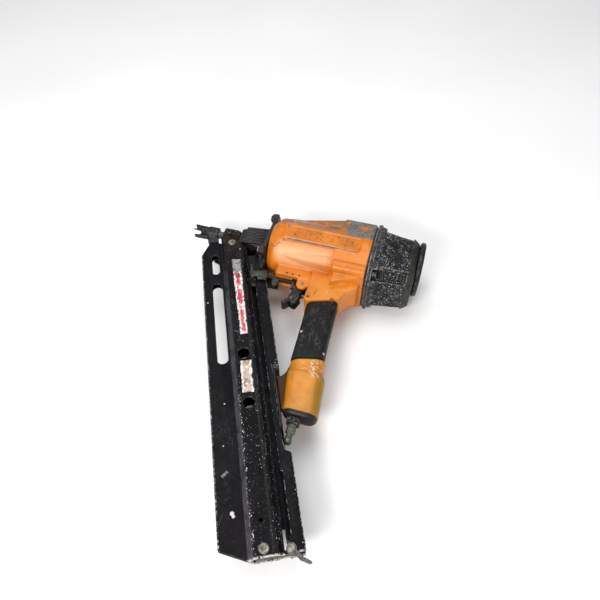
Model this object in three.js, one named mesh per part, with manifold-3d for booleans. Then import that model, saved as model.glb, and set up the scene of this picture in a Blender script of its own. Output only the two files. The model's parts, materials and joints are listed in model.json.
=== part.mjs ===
// Pneumatic stick nailer lying on its side, as an assembly of separate pieces.
//
// Tool frame, millimetres: +X runs along the drive axis from the nose to the cap, -Y towards the
// air fitting and the rear of the magazine, +Z is the left side of the tool, which faces up.
// The whole tool is then lifted so that its origin is the centre of the underside of its box.

import * as THREE from "three";
import { mergeVertices } from "three/addons/utils/BufferGeometryUtils.js";
import Module from "manifold-3d";

const wasm = await Module();
wasm.setup();

// ---------------------------------------------------------------- driving dimensions

const GAP = 0.3;                 // clearance between pieces that touch

const BARREL_R = 48;             // round body casting
const BARREL_FRONT = -68;
const BARREL_REAR = 82;
const CHAMBER_R = 42;            // air chamber around the cylinder sleeve
const SLEEVE_R = 34;
const SLEEVE_BORE = 30;
const FLANGE_Y = 52;             // half sizes of the rounded square rear flange
const FLANGE_Z = 47;
const CAP_END = 150;
const SCREW_Y = 43;              // cap screw pattern
const SCREW_Z = 33;

const HANDLE_END = -262;
const PIVOT = [-3, -70];         // trigger pin
const LEVER_PIN = [-11.5, -96.5];  // pin of the trip lever, in the trigger
const VALVE_Y = -82;             // axis of the trigger valve
const VALVE_PIN = [12, -90.6];   // pin that keeps it in

const NOSE_END = -188;
const FOOT_TIP = -201;
const BLADE_HALF = 2.6;
const CHANNEL_HALF = 3;          // driver channel in the nose
const NOSE_HALF = 4.2;           // half width of the driver barrel around it

const LEAN = 24.7;               // magazine lean from square to the drive axis, degrees
const TIP_EDGE = -173;           // across the magazine: nail tip edge, seam, groove and rail
const STEP_W = -141.5;
const RAISED_W = -137;
const COVER_END = -104;
const RAIL_START = -98;
const RAIL_BACK = -91;
const RAIL_EDGE = -82;
const MAG_REAR = -412;           // along the magazine, positive towards the nose
const LOW_Z = 4.8;               // outer faces of the low and the raised part of a cover
const HIGH_Z = 12;
const SHEET = 1.8;

const STEEL = { color: 0x8b8782, roughness: 0.45, metalness: 0.9 };
const DARK_STEEL = { color: 0x3a332d, roughness: 0.6, metalness: 0.7 };
const SILVER = { color: 0xb9b4a8, roughness: 0.35, metalness: 0.9 };
const ORANGE = { color: 0xe87f1e, roughness: 0.5, metalness: 0.15 };
const BLACK_COAT = { color: 0x1b191d, roughness: 0.55, metalness: 0.3 };
const RUBBER = { color: 0x25262a, roughness: 0.85, metalness: 0 };
const NYLON = { color: 0xd8d2c0, roughness: 0.6, metalness: 0 };
const BRASS = { color: 0x9a8a5c, roughness: 0.4, metalness: 0.9 };
const ALUMINIUM = { color: 0xa5a6a5, roughness: 0.5, metalness: 0.8 };
const LABEL = { color: 0xb9a9a0, roughness: 0.7, metalness: 0 };

// ---------------------------------------------------------------- shape helpers

// Flip a closed geometry whose faces point inwards.
function outward(geometry) {
  const p = geometry.attributes.position;
  const index = geometry.index;
  const [a, b, c] = [new THREE.Vector3(), new THREE.Vector3(), new THREE.Vector3()];
  let volume = 0;
  for (let i = 0; i < index.count; i += 3) {
    a.fromBufferAttribute(p, index.getX(i));
    b.fromBufferAttribute(p, index.getX(i + 1));
    c.fromBufferAttribute(p, index.getX(i + 2));
    volume += a.dot(b.cross(c));
  }
  if (volume < 0) {
    for (let i = 0; i < index.count; i += 3) {
      const first = index.getX(i);
      index.setX(i, index.getX(i + 1));
      index.setX(i + 1, first);
    }
  }
  return geometry;
}

function welded(geometry) {
  const plain = geometry.clone();
  plain.deleteAttribute("normal");
  plain.deleteAttribute("uv");
  return outward(mergeVertices(plain, 1e-3));
}

function solid(geometry) {
  const plain = welded(geometry);
  return new wasm.Manifold(new wasm.Mesh({
    numProp: 3,
    vertProperties: new Float32Array(plain.attributes.position.array),
    triVerts: new Uint32Array(plain.index.array),
  }));
}

function geometryOf(manifold) {
  const mesh = manifold.getMesh();
  const geometry = new THREE.BufferGeometry();
  geometry.setAttribute("position", new THREE.BufferAttribute(mesh.vertProperties, 3));
  geometry.setIndex(new THREE.BufferAttribute(mesh.triVerts, 1));
  return geometry;
}

function join(...pieces) {
  return geometryOf(pieces.map(solid).reduce((all, next) => all.add(next)));
}

function cut(base, ...tools) {
  return geometryOf(tools.map(solid).reduce((left, tool) => left.subtract(tool), solid(base)));
}

function block([x0, x1], [y0, y1], [z0, z1]) {
  const box = new THREE.BoxGeometry(x1 - x0, y1 - y0, z1 - z0);
  return box.translate((x0 + x1) / 2, (y0 + y1) / 2, (z0 + z1) / 2);
}

// Carry local x, y, z onto three axes, then move.
function along(geometry, x, y, z, at = [0, 0, 0]) {
  const basis = new THREE.Matrix4().makeBasis(
    new THREE.Vector3(...x), new THREE.Vector3(...y), new THREE.Vector3(...z));
  return geometry.applyMatrix4(basis).translate(...at);
}

// Solid of revolution about the X, Y or Z axis; the profile lists [position, radius].
function turned(axis, profile, at = [0, 0, 0], segments = 24) {
  const points = profile.map(([s, r]) => new THREE.Vector2(r, s));
  const lathe = new THREE.LatheGeometry(points, segments);
  const frames = {
    X: [[0, 1, 0], [1, 0, 0], [0, 0, -1]],
    Y: [[1, 0, 0], [0, 1, 0], [0, 0, 1]],
    Z: [[1, 0, 0], [0, 0, 1], [0, -1, 0]],
  };
  return along(lathe, ...frames[axis], at);
}

function rod(axis, radius, from, to, at = [0, 0, 0], segments = 16) {
  return turned(axis, [[from, 0], [from, radius], [to, radius], [to, 0]], at, segments);
}

function pipe(axis, outer, inner, from, to, at = [0, 0, 0], segments = 28) {
  return turned(axis, [[from, inner], [from, outer], [to, outer], [to, inner], [from, inner]],
    at, segments);
}

function outline(points) {
  return new THREE.Shape(points.map(([x, y]) => new THREE.Vector2(x, y)));
}

function roundedRectangle(halfX, halfY, corner) {
  const shape = new THREE.Shape();
  shape.absarc(halfX - corner, halfY - corner, corner, 0, Math.PI / 2);
  shape.absarc(corner - halfX, halfY - corner, corner, Math.PI / 2, Math.PI);
  shape.absarc(corner - halfX, corner - halfY, corner, Math.PI, 1.5 * Math.PI);
  shape.absarc(halfX - corner, corner - halfY, corner, 1.5 * Math.PI, 2 * Math.PI);
  return shape;
}

// Two round ends of one radius joined by straight sides.
function slotShape(x, y0, y1, radius) {
  const shape = new THREE.Shape();
  shape.absarc(x, y1 - radius, radius, 0, Math.PI);
  shape.absarc(x, y0 + radius, radius, Math.PI, 2 * Math.PI);
  return shape;
}

// A plate drawn in XY between two heights, with its edges optionally bevelled.
function plate(shape, z0, z1, bevel = 0, curveSegments = 6) {
  const geometry = new THREE.ExtrudeGeometry(shape, {
    depth: z1 - z0 - 2 * bevel,
    bevelEnabled: bevel > 0,
    bevelThickness: bevel,
    bevelSize: bevel,
    bevelOffset: -bevel,
    bevelSegments: bevel > 3 ? 3 : 1,
    curveSegments,
  });
  return geometry.translate(0, 0, z0 + bevel);
}

// A section carried along X (section x -> Y, section y -> Z), scaled and moved at each station:
// [x, scale], or [x, scale, move in Y, move in Z] and then a different scale for Z.
function loftX(shape, stations, curveSegments = 4) {
  const steps = stations.length - 1;
  const geometry = new THREE.ExtrudeGeometry(shape,
    { depth: steps, steps, bevelEnabled: false, curveSegments });
  const p = geometry.attributes.position;
  for (let i = 0; i < p.count; i += 1) {
    const [x, scale, dy = 0, dz = 0, scaleZ = scale] = stations[Math.round(p.getZ(i))];
    p.setXYZ(i, x, p.getX(i) * scale + dy, p.getY(i) * scaleZ + dz);
  }
  return geometry;
}

// The same along -Y (section x -> X): [y, scale, middle in X, scale for Z].
function loftDown(shape, stations, curveSegments = 4) {
  const turnedStations = stations.map(([y, scale, x, scaleZ]) => [-y, scale, x, 0, scaleZ]);
  return along(loftX(shape, turnedStations, curveSegments), [0, -1, 0], [1, 0, 0], [0, 0, 1]);
}

// A section in XZ carried along -Y from y1 down to y0.
function columnY(shape, y0, y1, at = [0, 0], curveSegments = 4) {
  const geometry = new THREE.ExtrudeGeometry(shape,
    { depth: y1 - y0, bevelEnabled: false, curveSegments });
  return along(geometry, [1, 0, 0], [0, 0, 1], [0, -1, 0], [at[0], y1, at[1]]);
}

// A wire wound into an open helix about the X axis.
function springX(radius, wire, from, to, turns, [y, z]) {
  class Helix extends THREE.Curve {
    getPoint(t, target = new THREE.Vector3()) {
      const angle = 2 * Math.PI * turns * t;
      return target.set(from + (to - from) * t, y + radius * Math.cos(angle),
        z + radius * Math.sin(angle));
    }
  }
  const section = outline([0, 1, 2, 3, 4].map((i) => {
    const angle = (2 * Math.PI * i) / 5;
    return [wire * Math.cos(angle), wire * Math.sin(angle)];
  }));
  return new THREE.ExtrudeGeometry(section,
    { steps: Math.round(turns * 10), bevelEnabled: false, extrudePath: new Helix() });
}

const tool = new THREE.Group();
const magazine = new THREE.Group();
magazine.rotation.z = THREE.MathUtils.degToRad(LEAN);
tool.add(magazine);

function add(name, geometry, finish, parent = tool) {
  const mesh = new THREE.Mesh(welded(geometry), new THREE.MeshStandardMaterial(finish));
  mesh.name = name;
  parent.add(mesh);
  return mesh;
}

// ---------------------------------------------------------------- body casting and handle

function flangeCorners(make) {
  return [[1, 1], [-1, 1], [-1, -1], [1, -1]].map(([sy, sz], i) => make(sy * SCREW_Y, sz * SCREW_Z, i));
}

// The handle leans a little, and the rubber sleeve's two ends are cut aslant.
const handleX = (y) => 34.8 - 0.045 * (y + 98);
const gripTop = (x) => -98 + 0.33 * (x - 28);
const gripBottom = (x) => -189.5 + 0.25 * (x - 39);

function handleColumn(halfX, halfZ, corner, y0, y1, curveSegments = 4) {
  return loftDown(roundedRectangle(halfX, halfZ, corner),
    [[y1, 1, handleX(y1)], [y0, 1, handleX(y0)]], curveSegments);
}

// Everything above (1) or below (-1) a slanted line across the handle.
function handleSide(line, shift, direction) {
  const far = direction * 60;
  return plate(outline([[-10, line(-10) + shift], [90, line(90) + shift],
    [90, line(40) + far], [-10, line(40) + far]]), -30, 30);
}

function bodyCasting() {
  const barrel = turned("X", [
    [BARREL_FRONT, 0], [BARREL_FRONT, 38], [BARREL_FRONT + 10, BARREL_R - 2],
    [BARREL_REAR - 4, BARREL_R], [BARREL_REAR - 4, 0],
  ], [0, 0, 0], 36);
  const flange = loftX(roundedRectangle(FLANGE_Y, FLANGE_Z, 20),
    [[28, 0.86], [40, 1], [BARREL_REAR, 1]]);
  const bosses = flangeCorners((y, z) => rod("X", 11, 36, BARREL_REAR, [0, y, z], 12));
  const fairings = [1, -1].map((side) => loftX(roundedRectangle(11, 11, 8), [
    [-52, 0.5, 33, side * 25], [38, 0.98, SCREW_Y, side * SCREW_Z],
    [60, 0.98, SCREW_Y, side * SCREW_Z],
  ], 2));
  const pad = loftX(roundedRectangle(14.5, 3, 2), [[-43, 0.92], [-41, 1], [67, 1], [69, 0.92]], 2)
    .translate(0, -6.5, 46);
  const ledge = block([-40, 6], [-60, -30], [-14, 14]);
  const neck = cut(plate(outline([
    [2, -30], [8, -58], [8, -76], [7.4, -94], [9.4, -100.5], [12.2, -103], [58, -103.5],
    [58, -84], [63, -71], [72, -60], [77, -30],
  ]), -19, 19, 5), cut(handleSide(gripTop, GAP, -1), block([-10, 12.2], [-110, -60], [-30, 30])));
  const ears = [[8.4, 13], [-13, -8.4]].map(([z0, z1]) => plate(outline([
    [-12, -52], [-11, -74], [-6, -79], [1, -79], [9, -70], [9, -52],
  ]), z0, z1));
  const core = handleColumn(15.5, 13, 8, -200, -85);
  const flare = cut(loftDown(roundedRectangle(24, 16, 13), [
    [-180, 0.88, 38.8, 0.98], [-200, 0.95, 40.3, 1], [-206, 1, 41.5, 1.02],
    [-211, 1.05, 42.2, 1.04], [-240, 1, 46, 1], [HANDLE_END, 0.94, 48.8, 0.9],
  ]), handleSide(gripBottom, -GAP, 1));
  const web = plate(outline([
    [22, -199], [17, -203], [15.6, -211], [12.5, -216.5], [6.7, -221], [9, -227],
    [24.3, HANDLE_END], [36, HANDLE_END], [36, -199],
  ]), -6, 6, 1);
  const chamber = rod("X", CHAMBER_R, BARREL_FRONT + 14, BARREL_REAR + 1, [0, 0, 0], 28);
  const noseBore = rod("X", 14, BARREL_FRONT - 1, BARREL_FRONT + 15);
  const airPassage = columnY(roundedRectangle(9.5, 8, 5), HANDLE_END - 1, -30, [38.5, 0]);
  const endRoom = columnY(roundedRectangle(17, 12, 7), HANDLE_END - 1, -215, [47, 0]);
  const valveBore = rod("X", 9.3, 0, 36, [0, VALVE_Y, 0], 20);
  const pinHole = rod("Z", 2.4, -16, 16, [...PIVOT, 0], 12);
  const retainerHole = rod("Z", 2, -22, 22, [...VALVE_PIN, 0], 12);
  const screwHoles = flangeCorners((y, z) => rod("X", 3.6, 58, BARREL_REAR + 1, [0, y, z], 12));
  const triggerPocket = block([-16, 7], [-82, -59.9], [-8.4, 8.4]);
  const raised = join(barrel, flange, ...bosses, ...fairings, pad, ledge, neck, core, flare, web);
  const hollowed = cut(raised, chamber, noseBore, airPassage, endRoom, valveBore,
    retainerHole, triggerPocket, ...screwHoles);
  return cut(join(hollowed, ...ears), pinHole, chamber);
}

add("body_casting", bodyCasting(), ORANGE);

add("rubber_grip", cut(
  handleColumn(21, 17.5, 10, -198, -84, 5).translate(-1, 0, 0),
  handleColumn(15.8, 13.3, 8, -200, -82),
  handleSide(gripTop, 0, 1), handleSide(gripBottom, 0, -1),
), RUBBER);

add("end_cap", loftDown(roundedRectangle(22, 13.6, 11.5), [
  [HANDLE_END - GAP, 1, 49, 1], [HANDLE_END - 3, 0.99, 49, 0.99],
  [HANDLE_END - 6, 0.87, 49, 0.87],
]), DARK_STEEL);

const PLUG_X = 43.5;
const PLUG_SEAT = HANDLE_END - 6 - GAP;
add("air_fitting", join(
  rod("Y", 9.5, -8.5, 0, [PLUG_X, PLUG_SEAT, 0], 6),
  turned("Y", [[-32.5, 0], [-32.5, 4.5], [-30.5, 5.4], [-27, 5.4], [-25.5, 4], [-20.5, 4],
    [-19, 6], [-8, 6], [-8, 0]], [PLUG_X, PLUG_SEAT, 0], 16),
), BRASS);

// ---------------------------------------------------------------- cylinder and what runs in it

add("cylinder_sleeve", join(
  pipe("X", SLEEVE_R, SLEEVE_BORE, BARREL_FRONT + 14 + GAP, 74),
  pipe("X", CHAMBER_R - 1, SLEEVE_R - 1, -14, -6),
), ALUMINIUM);

add("bumper", turned("X", [
  [-53.7, 8], [-53.7, SLEEVE_BORE - GAP], [-44, SLEEVE_BORE - GAP], [-38, 24], [-38, 8], [-53.7, 8],
], [0, 0, 0], 28), RUBBER);

const PISTON_X = 58;
add("piston", turned("X", [
  [PISTON_X, 0], [PISTON_X, SLEEVE_BORE - 0.5], [PISTON_X + 4, SLEEVE_BORE - 0.5],
  [PISTON_X + 4, 26], [PISTON_X + 8, 26], [PISTON_X + 8, SLEEVE_BORE - 0.5],
  [PISTON_X + 12, SLEEVE_BORE - 0.5], [PISTON_X + 12, 16], [PISTON_X + 7, 12], [PISTON_X + 7, 0],
], [0, 0, 0], 28), ALUMINIUM);
add("piston_o_ring", pipe("X", SLEEVE_BORE - 0.35, 26.3, PISTON_X + 4.3, PISTON_X + 7.7), RUBBER);
add("driver_blade", block([-94, PISTON_X - GAP], [-BLADE_HALF, BLADE_HALF],
  [-BLADE_HALF, BLADE_HALF]), STEEL);

// ---------------------------------------------------------------- head valve, cap and exhaust

add("head_valve", turned("X", [
  [76, 20], [76, 36], [79, 39], [100, 39], [100, 34], [86, 34], [86, 20], [76, 20],
], [0, 0, 0], 28), NYLON);

const WELL = 91;                 // floor of the screw wells
function headCap() {
  const shell = loftX(roundedRectangle(FLANGE_Y, FLANGE_Z, 20), [
    [84.4, 1.03], [90, 1.03], [90.5, 0.985], [CAP_END - 9, 0.88], [CAP_END, 0.77],
  ], 5);
  const valveRoom = rod("X", 40.5, 84, 120, [0, 0, 0], 28);
  const exhaust = rod("X", 14, 110, CAP_END + 1);
  const spigot = pipe("X", 32.5, 28, 100, 121);
  const wells = flangeCorners((y, z) => {
    const channel = block([WELL, CAP_END + 5], [0, 30], [-8.5, 8.5]);
    const round = rod("X", 8.5, WELL, CAP_END + 5, [0, 0, 0], 12);
    const angle = Math.atan2(z, y);
    return join(channel, round).rotateX(angle).translate(0, y, z);
  });
  const holes = flangeCorners((y, z) => rod("X", 3.6, 80, WELL + 1, [0, y, z], 12));
  const post = join(rod("X", 6, 122, CAP_END), block([122, 130], [-20, 20], [-3, 3]));
  const body = join(cut(shell, valveRoom, exhaust, ...wells, ...holes), cut(spigot, exhaust), post);
  return cut(body, rod("X", 3.4, CAP_END - 8, CAP_END + 1, [0, 0, 0], 12));
}

add("head_cap", headCap(), BLACK_COAT);

add("cap_gasket", cut(
  loftX(roundedRectangle(FLANGE_Y - 1, FLANGE_Z - 1, 20), [[82.3, 1], [84.1, 1]]),
  rod("X", 42, 80, 90, [0, 0, 0], 32),
  ...flangeCorners((y, z) => rod("X", 3.6, 80, 90, [0, y, z], 12)),
), RUBBER);

flangeCorners((y, z, i) => add(`cap_screw_${i + 1}`, cut(
  join(rod("X", 3.2, 60, WELL + 1, [0, y, z], 8),
    rod("X", 6, WELL + GAP, WELL + 7, [0, y, z], 14)),
  rod("X", 2.8, WELL + 3.5, WELL + 8, [0, y, z], 6),
), SILVER));

add("head_valve_spring", springX(36.5, 1.1, 102, 117, 4, [0, 0]), STEEL);

const DISC = CAP_END + GAP;
add("exhaust_deflector", cut(
  loftX(roundedRectangle(38.5, 38.5, 34), [[DISC, 0.92], [DISC + 1.7, 1], [DISC + 6, 1],
    [DISC + 8, 0.94]], 6).translate(0, 7, 7),
  rod("X", 10, DISC - 1, DISC + 4, [0, 0, 0], 16),
  rod("X", 3.4, DISC - 1, DISC + 9, [0, 0, 0], 12),
  block([DISC - 1, DISC + 5], [0, 40], [-12, 12]).rotateX(Math.PI / 4),
  rod("X", 7.4, DISC + 6.5, DISC + 9, [0, 0, 0], 20),
), BLACK_COAT);
add("deflector_screw", join(
  rod("X", 3, CAP_END - 7, DISC + 8, [0, 0, 0], 12),
  rod("X", 7, DISC + 6.8, DISC + 9, [0, 0, 0], 20),
), SILVER);

// ---------------------------------------------------------------- trigger and its valve

function triggerChannel() {
  const side = outline([
    [-9, -65], [-13.5, -77], [-15, -88], [-17, -96], [-23.5, -105.5], [-21.5, -108.5],
    [-17.5, -106.5], [-13.5, -101], [-6.5, -104.5], [-3.5, -103], [0.5, -90], [-2, -86.5],
    [0, -80], [3, -74], [2.5, -66], [-3, -63.5],
  ]);
  const inside = outline([
    [-7, -60], [-10.8, -77], [-12.2, -88], [-14, -95], [-14, -110], [10, -110], [10, -60],
  ]);
  const channel = cut(plate(side, -8.1, 8.1, 1), plate(inside, -6, 6));
  const front = block([-18, -3], [-80, -60], [-5.6, 5.6]);
  return cut(channel, front, rod("Z", 2.4, -10, 10, [...PIVOT, 0], 12),
    rod("Z", 1.7, -10, 10, [...LEVER_PIN, 0], 10));
}

add("trigger", triggerChannel(), DARK_STEEL);
add("trigger_pin", rod("Z", 2.1, -14, 14, [...PIVOT, 0], 12), SILVER);
add("trip_lever", cut(plate(outline([
  [-13.4, -96.3], [-11.7, -99.3], [-8.6, -97.6], [-3.6, -86], [-1.8, -78], [-4.6, -76.5],
  [-7.4, -84],
]), -2.5, 2.5), rod("Z", 1.7, -4, 4, [...LEVER_PIN, 0], 10)), STEEL);
add("trip_lever_pin", rod("Z", 1.4, -8.6, 8.6, [...LEVER_PIN, 0], 10), SILVER);

add("trigger_valve_body", cut(
  turned("X", [[9, 0], [9, 9], [9.8, 9], [9.8, 6.6], [14.2, 6.6], [14.2, 9], [35, 9], [35, 0]],
    [0, VALVE_Y, 0], 20),
  rod("X", 3.2, 8, 28, [0, VALVE_Y, 0], 12), rod("X", 5.5, 20, 36, [0, VALVE_Y, 0], 16),
), NYLON);
add("valve_stem", turned("X", [
  [-0.9, 0], [-0.9, 2], [22, 2.8], [22, 4.8], [25, 4.8], [25, 0],
], [0, VALVE_Y, 0], 16), BRASS);
add("valve_pin", rod("Z", 1.7, -20, 20, [...VALVE_PIN, 0], 12), SILVER);

// ---------------------------------------------------------------- nose, driver guide, work contact

const BOLT_Y = 34;
const BOLT_Z = 25;
const NOSE_FRONT = -122;

function noseCasting() {
  const base = loftX(roundedRectangle(41, 33, 12), [[-74.5, 0.94], [-73, 1], [-68.3, 1]], 3);
  const snout = loftX(roundedRectangle(20, 15, 5),
    [[NOSE_FRONT, 0.72], [-112, 0.86], [-84, 1], [-72, 1.15]], 1);
  const ribs = [1, -1].flatMap((side) => [-12, -4, 4, 12].map((y) => columnY(outline([
    [NOSE_FRONT + 3, 0], [-72, 0], [-72, side * 21], [-82, side * 17.5],
    [NOSE_FRONT + 6, side * 14],
  ]), y - 1.3, y + 1.3)));
  const lug = plate(outline([[-83.6, -28], [-73.3, -52], [-68.3, -56], [-68.3, -28]]), -10, 10, 1);
  const shelf = plate(outline([
    [-96, -12], [-82, -12], [-68.3, -28], [-68.3, -56], [-88, -46],
  ]), -14.8, -12.8);
  const bore = rod("X", 4.4, NOSE_FRONT - 2, -66);
  const holes = flangeCorners((y, z) =>
    rod("X", 3.6, -80, -60, [0, Math.sign(y) * BOLT_Y, Math.sign(z) * BOLT_Z], 12));
  const magazineMouth = block([NOSE_FRONT - 2, -84], [-30, 0], [-5.5, 5.5]);
  const coverMouth = block([NOSE_FRONT - 3, -94], [-30, -13.5], [-12.4, 12.4]);
  const spigot = pipe("X", 13.7, 4.4, -69, -55, [0, 0, 0], 20);
  return cut(join(base, snout, lug, shelf, ...ribs, spigot), bore, magazineMouth, coverMouth, ...holes);
}

add("nose_casting", noseCasting(), DARK_STEEL);

flangeCorners((y, z, i) => {
  const at = [0, Math.sign(y) * BOLT_Y, Math.sign(z) * BOLT_Z];
  add(`nose_bolt_${i + 1}`, cut(
    join(rod("X", 3.2, -76, -69.5, at, 8), rod("X", 5.2, -80.5, -74.8, at, 14)),
    rod("X", 2.6, -82, -77.5, at, 6)), i === 0 ? DARK_STEEL : SILVER);
});

const GUIDE_SCREW = [-140, -0.5];

const driverChannel = block([NOSE_END - 8, -120], [-CHANNEL_HALF, CHANNEL_HALF],
  [-CHANNEL_HALF, CHANNEL_HALF]);
add("driver_guide", cut(
  join(block([-143.5, -128], [-11, 9], [-9.8, 9.8]),
    block([-148.5, -140], [-2, 9], [-9.4, 9.4]),
    block([-130, NOSE_FRONT - 0.4], [-11, 9], [-5.8, 5.8])),
  driverChannel,
  block([-158, -120], [-20, 0], [-4.2, 4.2]),
  rod("Z", 2.6, 4.5, 12, [...GUIDE_SCREW, 0], 12),
), DARK_STEEL);
add("driver_barrel", cut(block([NOSE_END, -148.5 - GAP], [-NOSE_HALF, NOSE_HALF],
  [-NOSE_HALF, NOSE_HALF]), driverChannel), STEEL);
add("guide_screw", cut(
  join(rod("Z", 2.3, 4.8, 13, [...GUIDE_SCREW, 0], 12),
    rod("Z", 4.6, HIGH_Z + GAP, 14, [...GUIDE_SCREW, 0], 16)),
  rod("Z", 1.8, 13, 16, [...GUIDE_SCREW, 0], 6)), DARK_STEEL);

// The work contact: a yoke around the driver barrel, three prongs, and the arm to the trigger.
function workContact() {
  const [front, rear] = [-176, -159];
  const slack = NOSE_HALF + GAP;
  const yoke = block([front, rear], [-8.5, 8.5], [-7, 6.5]);
  const window = block([FOOT_TIP - 6, rear + 4], [-slack, slack], [-slack, slack]);
  const upper = plate(outline([
    [FOOT_TIP, 8.2], [FOOT_TIP + 3, slack], [front + 2, slack], [front + 2, 9], [-199, 9.6],
  ]), -4, 4.4, 0.8);
  const lower = plate(outline([
    [FOOT_TIP + 4, -9.4], [-189, -7.2], [-187, -slack], [front + 2, -slack],
    [front + 2, -9.6], [-190, -10.4],
  ]), -6, 1.5, 0.8);
  const middle = plate(outline([
    [FOOT_TIP + 1, -3.4], [-193, -0.8], [front + 2, 0.6], [front + 2, -4], [-190, -4.2],
  ]), 4.7, 6.4);
  const strap = plate(outline([
    [front, -8.5], [front, 5], [-164, 5], [-148, -30], [-64, -55], [-42, -55], [-42, -67],
    [-66, -67], [-153, -42], [-163, -8.5],
  ]), -19, -15.5);
  const drop = block([front, -163], [-8.5, 5], [-16, -6.9]);
  const post = block([-58, -46], [-66.5, -62], [-19, 5]);
  const bar = block([-58, -15.4], [-66.5, -62], [0, 5]);
  const finger = block([-19, -15.4], [-76, -62], [0, 5]);
  const hook = plate(outline([[-48, -63], [-39, -63], [-40, -75], [-45, -79], [-48, -74]]), 0, 5);
  return join(cut(yoke, window), upper, lower, middle, drop, strap, post, bar, finger, hook);
}

add("work_contact", workContact(), STEEL);

// ---------------------------------------------------------------- magazine

// One folded cover: low plate at the nail tips, sloped step, raised band, slope into the groove.
function coverSection(seam) {
  const outer = [
    [TIP_EDGE, LOW_Z], [STEP_W, LOW_Z], [RAISED_W, HIGH_Z], [-111, HIGH_Z], [-106, 8],
    [seam, 8],
  ];
  const inner = [
    [seam, 8 - SHEET], [-107, 8 - SHEET], [-112, HIGH_Z - SHEET],
    [RAISED_W + 1.5, HIGH_Z - SHEET], [STEP_W + 1.5, LOW_Z - SHEET],
    [TIP_EDGE + SHEET, LOW_Z - SHEET], [TIP_EDGE + SHEET, GAP / 2], [TIP_EDGE, GAP / 2],
  ];
  return outline([...outer, ...inner]);
}

const COVER_TOP = 80;
const SHORT_SLOT = [-20, 18];
const LONG_SLOT = [-174, -38];
const SLOT_W = -153;
const HOLE_W = -125;
const RAIL_SCREW_W = -97;
const REAR_SCREW_Y = -403.5;
const FRONT_SCREW_Y = 34;
const RAIL_SCREW_Y = -407.5;

// A shape drawn in the tool's own axes, turned into the magazine's.
function inMagazine(geometry) {
  return geometry.rotateZ(-THREE.MathUtils.degToRad(LEAN));
}

function magazineCover(seam) {
  const wall = columnY(coverSection(seam), MAG_REAR, COVER_TOP);
  const corner = plate(outline([
    [TIP_EDGE - 5, 11], [-157, 49], [-141.5, 41.9], [-141.5, 90], [TIP_EDGE - 5, 90],
  ]), -1, 20);
  const noseEnd = inMagazine(block([-200, -60], [6, 80], [-1, 20]));
  const besideNose = inMagazine(block([NOSE_FRONT - 1, -40], [-13.8, 80], [-1, 20]));
  const railEnd = plate(outline([[-109, 34], [-90, 25], [-90, 90], [-109, 90]]), -1, 20);
  const tail = plate(outline([
    [TIP_EDGE - 5, MAG_REAR + 17.5], [STEP_W + 1, MAG_REAR], [STEP_W + 1, MAG_REAR - 5],
    [TIP_EDGE - 5, MAG_REAR - 5],
  ]), -1, 20);
  const slots = [SHORT_SLOT, LONG_SLOT].map(([y0, y1], i) =>
    plate(slotShape(SLOT_W, y0, y1, i ? 7.5 : 5.5), -1, 20));
  const holes = [[-166, 8.2], [-237, 7.6], [-375, 2.2]].map(([y, r]) =>
    rod("Z", r, 0, 20, [HOLE_W, y, 0], 20));
  const screws = [FRONT_SCREW_Y, REAR_SCREW_Y].map((y) => rod("Z", 2.6, 0, 20, [HOLE_W, y, 0], 12));
  const guideHole = inMagazine(rod("Z", 2.8, 0, 20, [...GUIDE_SCREW, 0], 12));
  const overGuide = inMagazine(block([-200, -143], [-12, 5.4], [-1, 5.4]));
  const overContact = inMagazine(block([-220, -148.2], [-12, 10.5], [-1, 20]));
  return cut(wall, corner, noseEnd, besideNose, railEnd, tail, ...slots, ...holes, ...screws,
    guideHole, overGuide, overContact);
}

// The left cover stops short of the rail and leaves the pusher's groove; the right one runs under
// the rail, with a narrow slit near the rear.
const SLIT = block([-107, -101], [-407, -384], [-20, 20]);
const RAIL_SCREW_HOLE = rod("Z", 2.7, -20, 20, [RAIL_SCREW_W, RAIL_SCREW_Y, 0], 12);
add("magazine_left_cover", magazineCover(COVER_END), BLACK_COAT, magazine);
add("magazine_right_cover", cut(magazineCover(-95), SLIT, RAIL_SCREW_HOLE).scale(1, 1, -1),
  BLACK_COAT, magazine);

// Channel for the nail heads, with a fin on each face that is cut back beside the handle.
function headRail() {
  const section = outline([
    [RAIL_START, 11], [RAIL_EDGE, 11], [RAIL_EDGE, 9.2], [RAIL_BACK, 9.2], [RAIL_BACK, -9.2],
    [RAIL_EDGE, -9.2], [RAIL_EDGE, -11], [RAIL_START, -11], [RAIL_START, -9.2],
    [RAIL_BACK - 1.8, -9.2], [RAIL_BACK - 1.8, 9.2], [RAIL_START, 9.2],
  ]);
  const notch = plate(outline([
    [RAIL_BACK + GAP, -186], [RAIL_EDGE + 5, -186], [RAIL_EDGE + 5, -309], [RAIL_BACK + 2, -302],
    [RAIL_BACK + GAP, -290],
  ]), -20, 20);
  const loading = block([RAIL_START - 1, -95.4], [-394, -326], [5, 20]);
  const topCut = plate(outline([[-100, 0], [-80, -52], [-80, 10], [-100, 10]]), -20, 20);
  return cut(columnY(section, MAG_REAR, -28), notch, loading, topCut, RAIL_SCREW_HOLE);
}

add("head_rail", headRail(), BLACK_COAT, magazine);

add("rear_block", cut(
  plate(outline([
    [-135, MAG_REAR + 1], [-93.2, MAG_REAR + 1], [-93.2, -400], [-104, -396], [-135, -396],
  ]), -5.8, 5.8),
  SLIT,
  rod("Z", 2.6, -14, 14, [HOLE_W, REAR_SCREW_Y, 0], 12),
  rod("Z", 2.6, -14, 14, [RAIL_SCREW_W, RAIL_SCREW_Y, 0], 12),
), DARK_STEEL, magazine);

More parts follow.
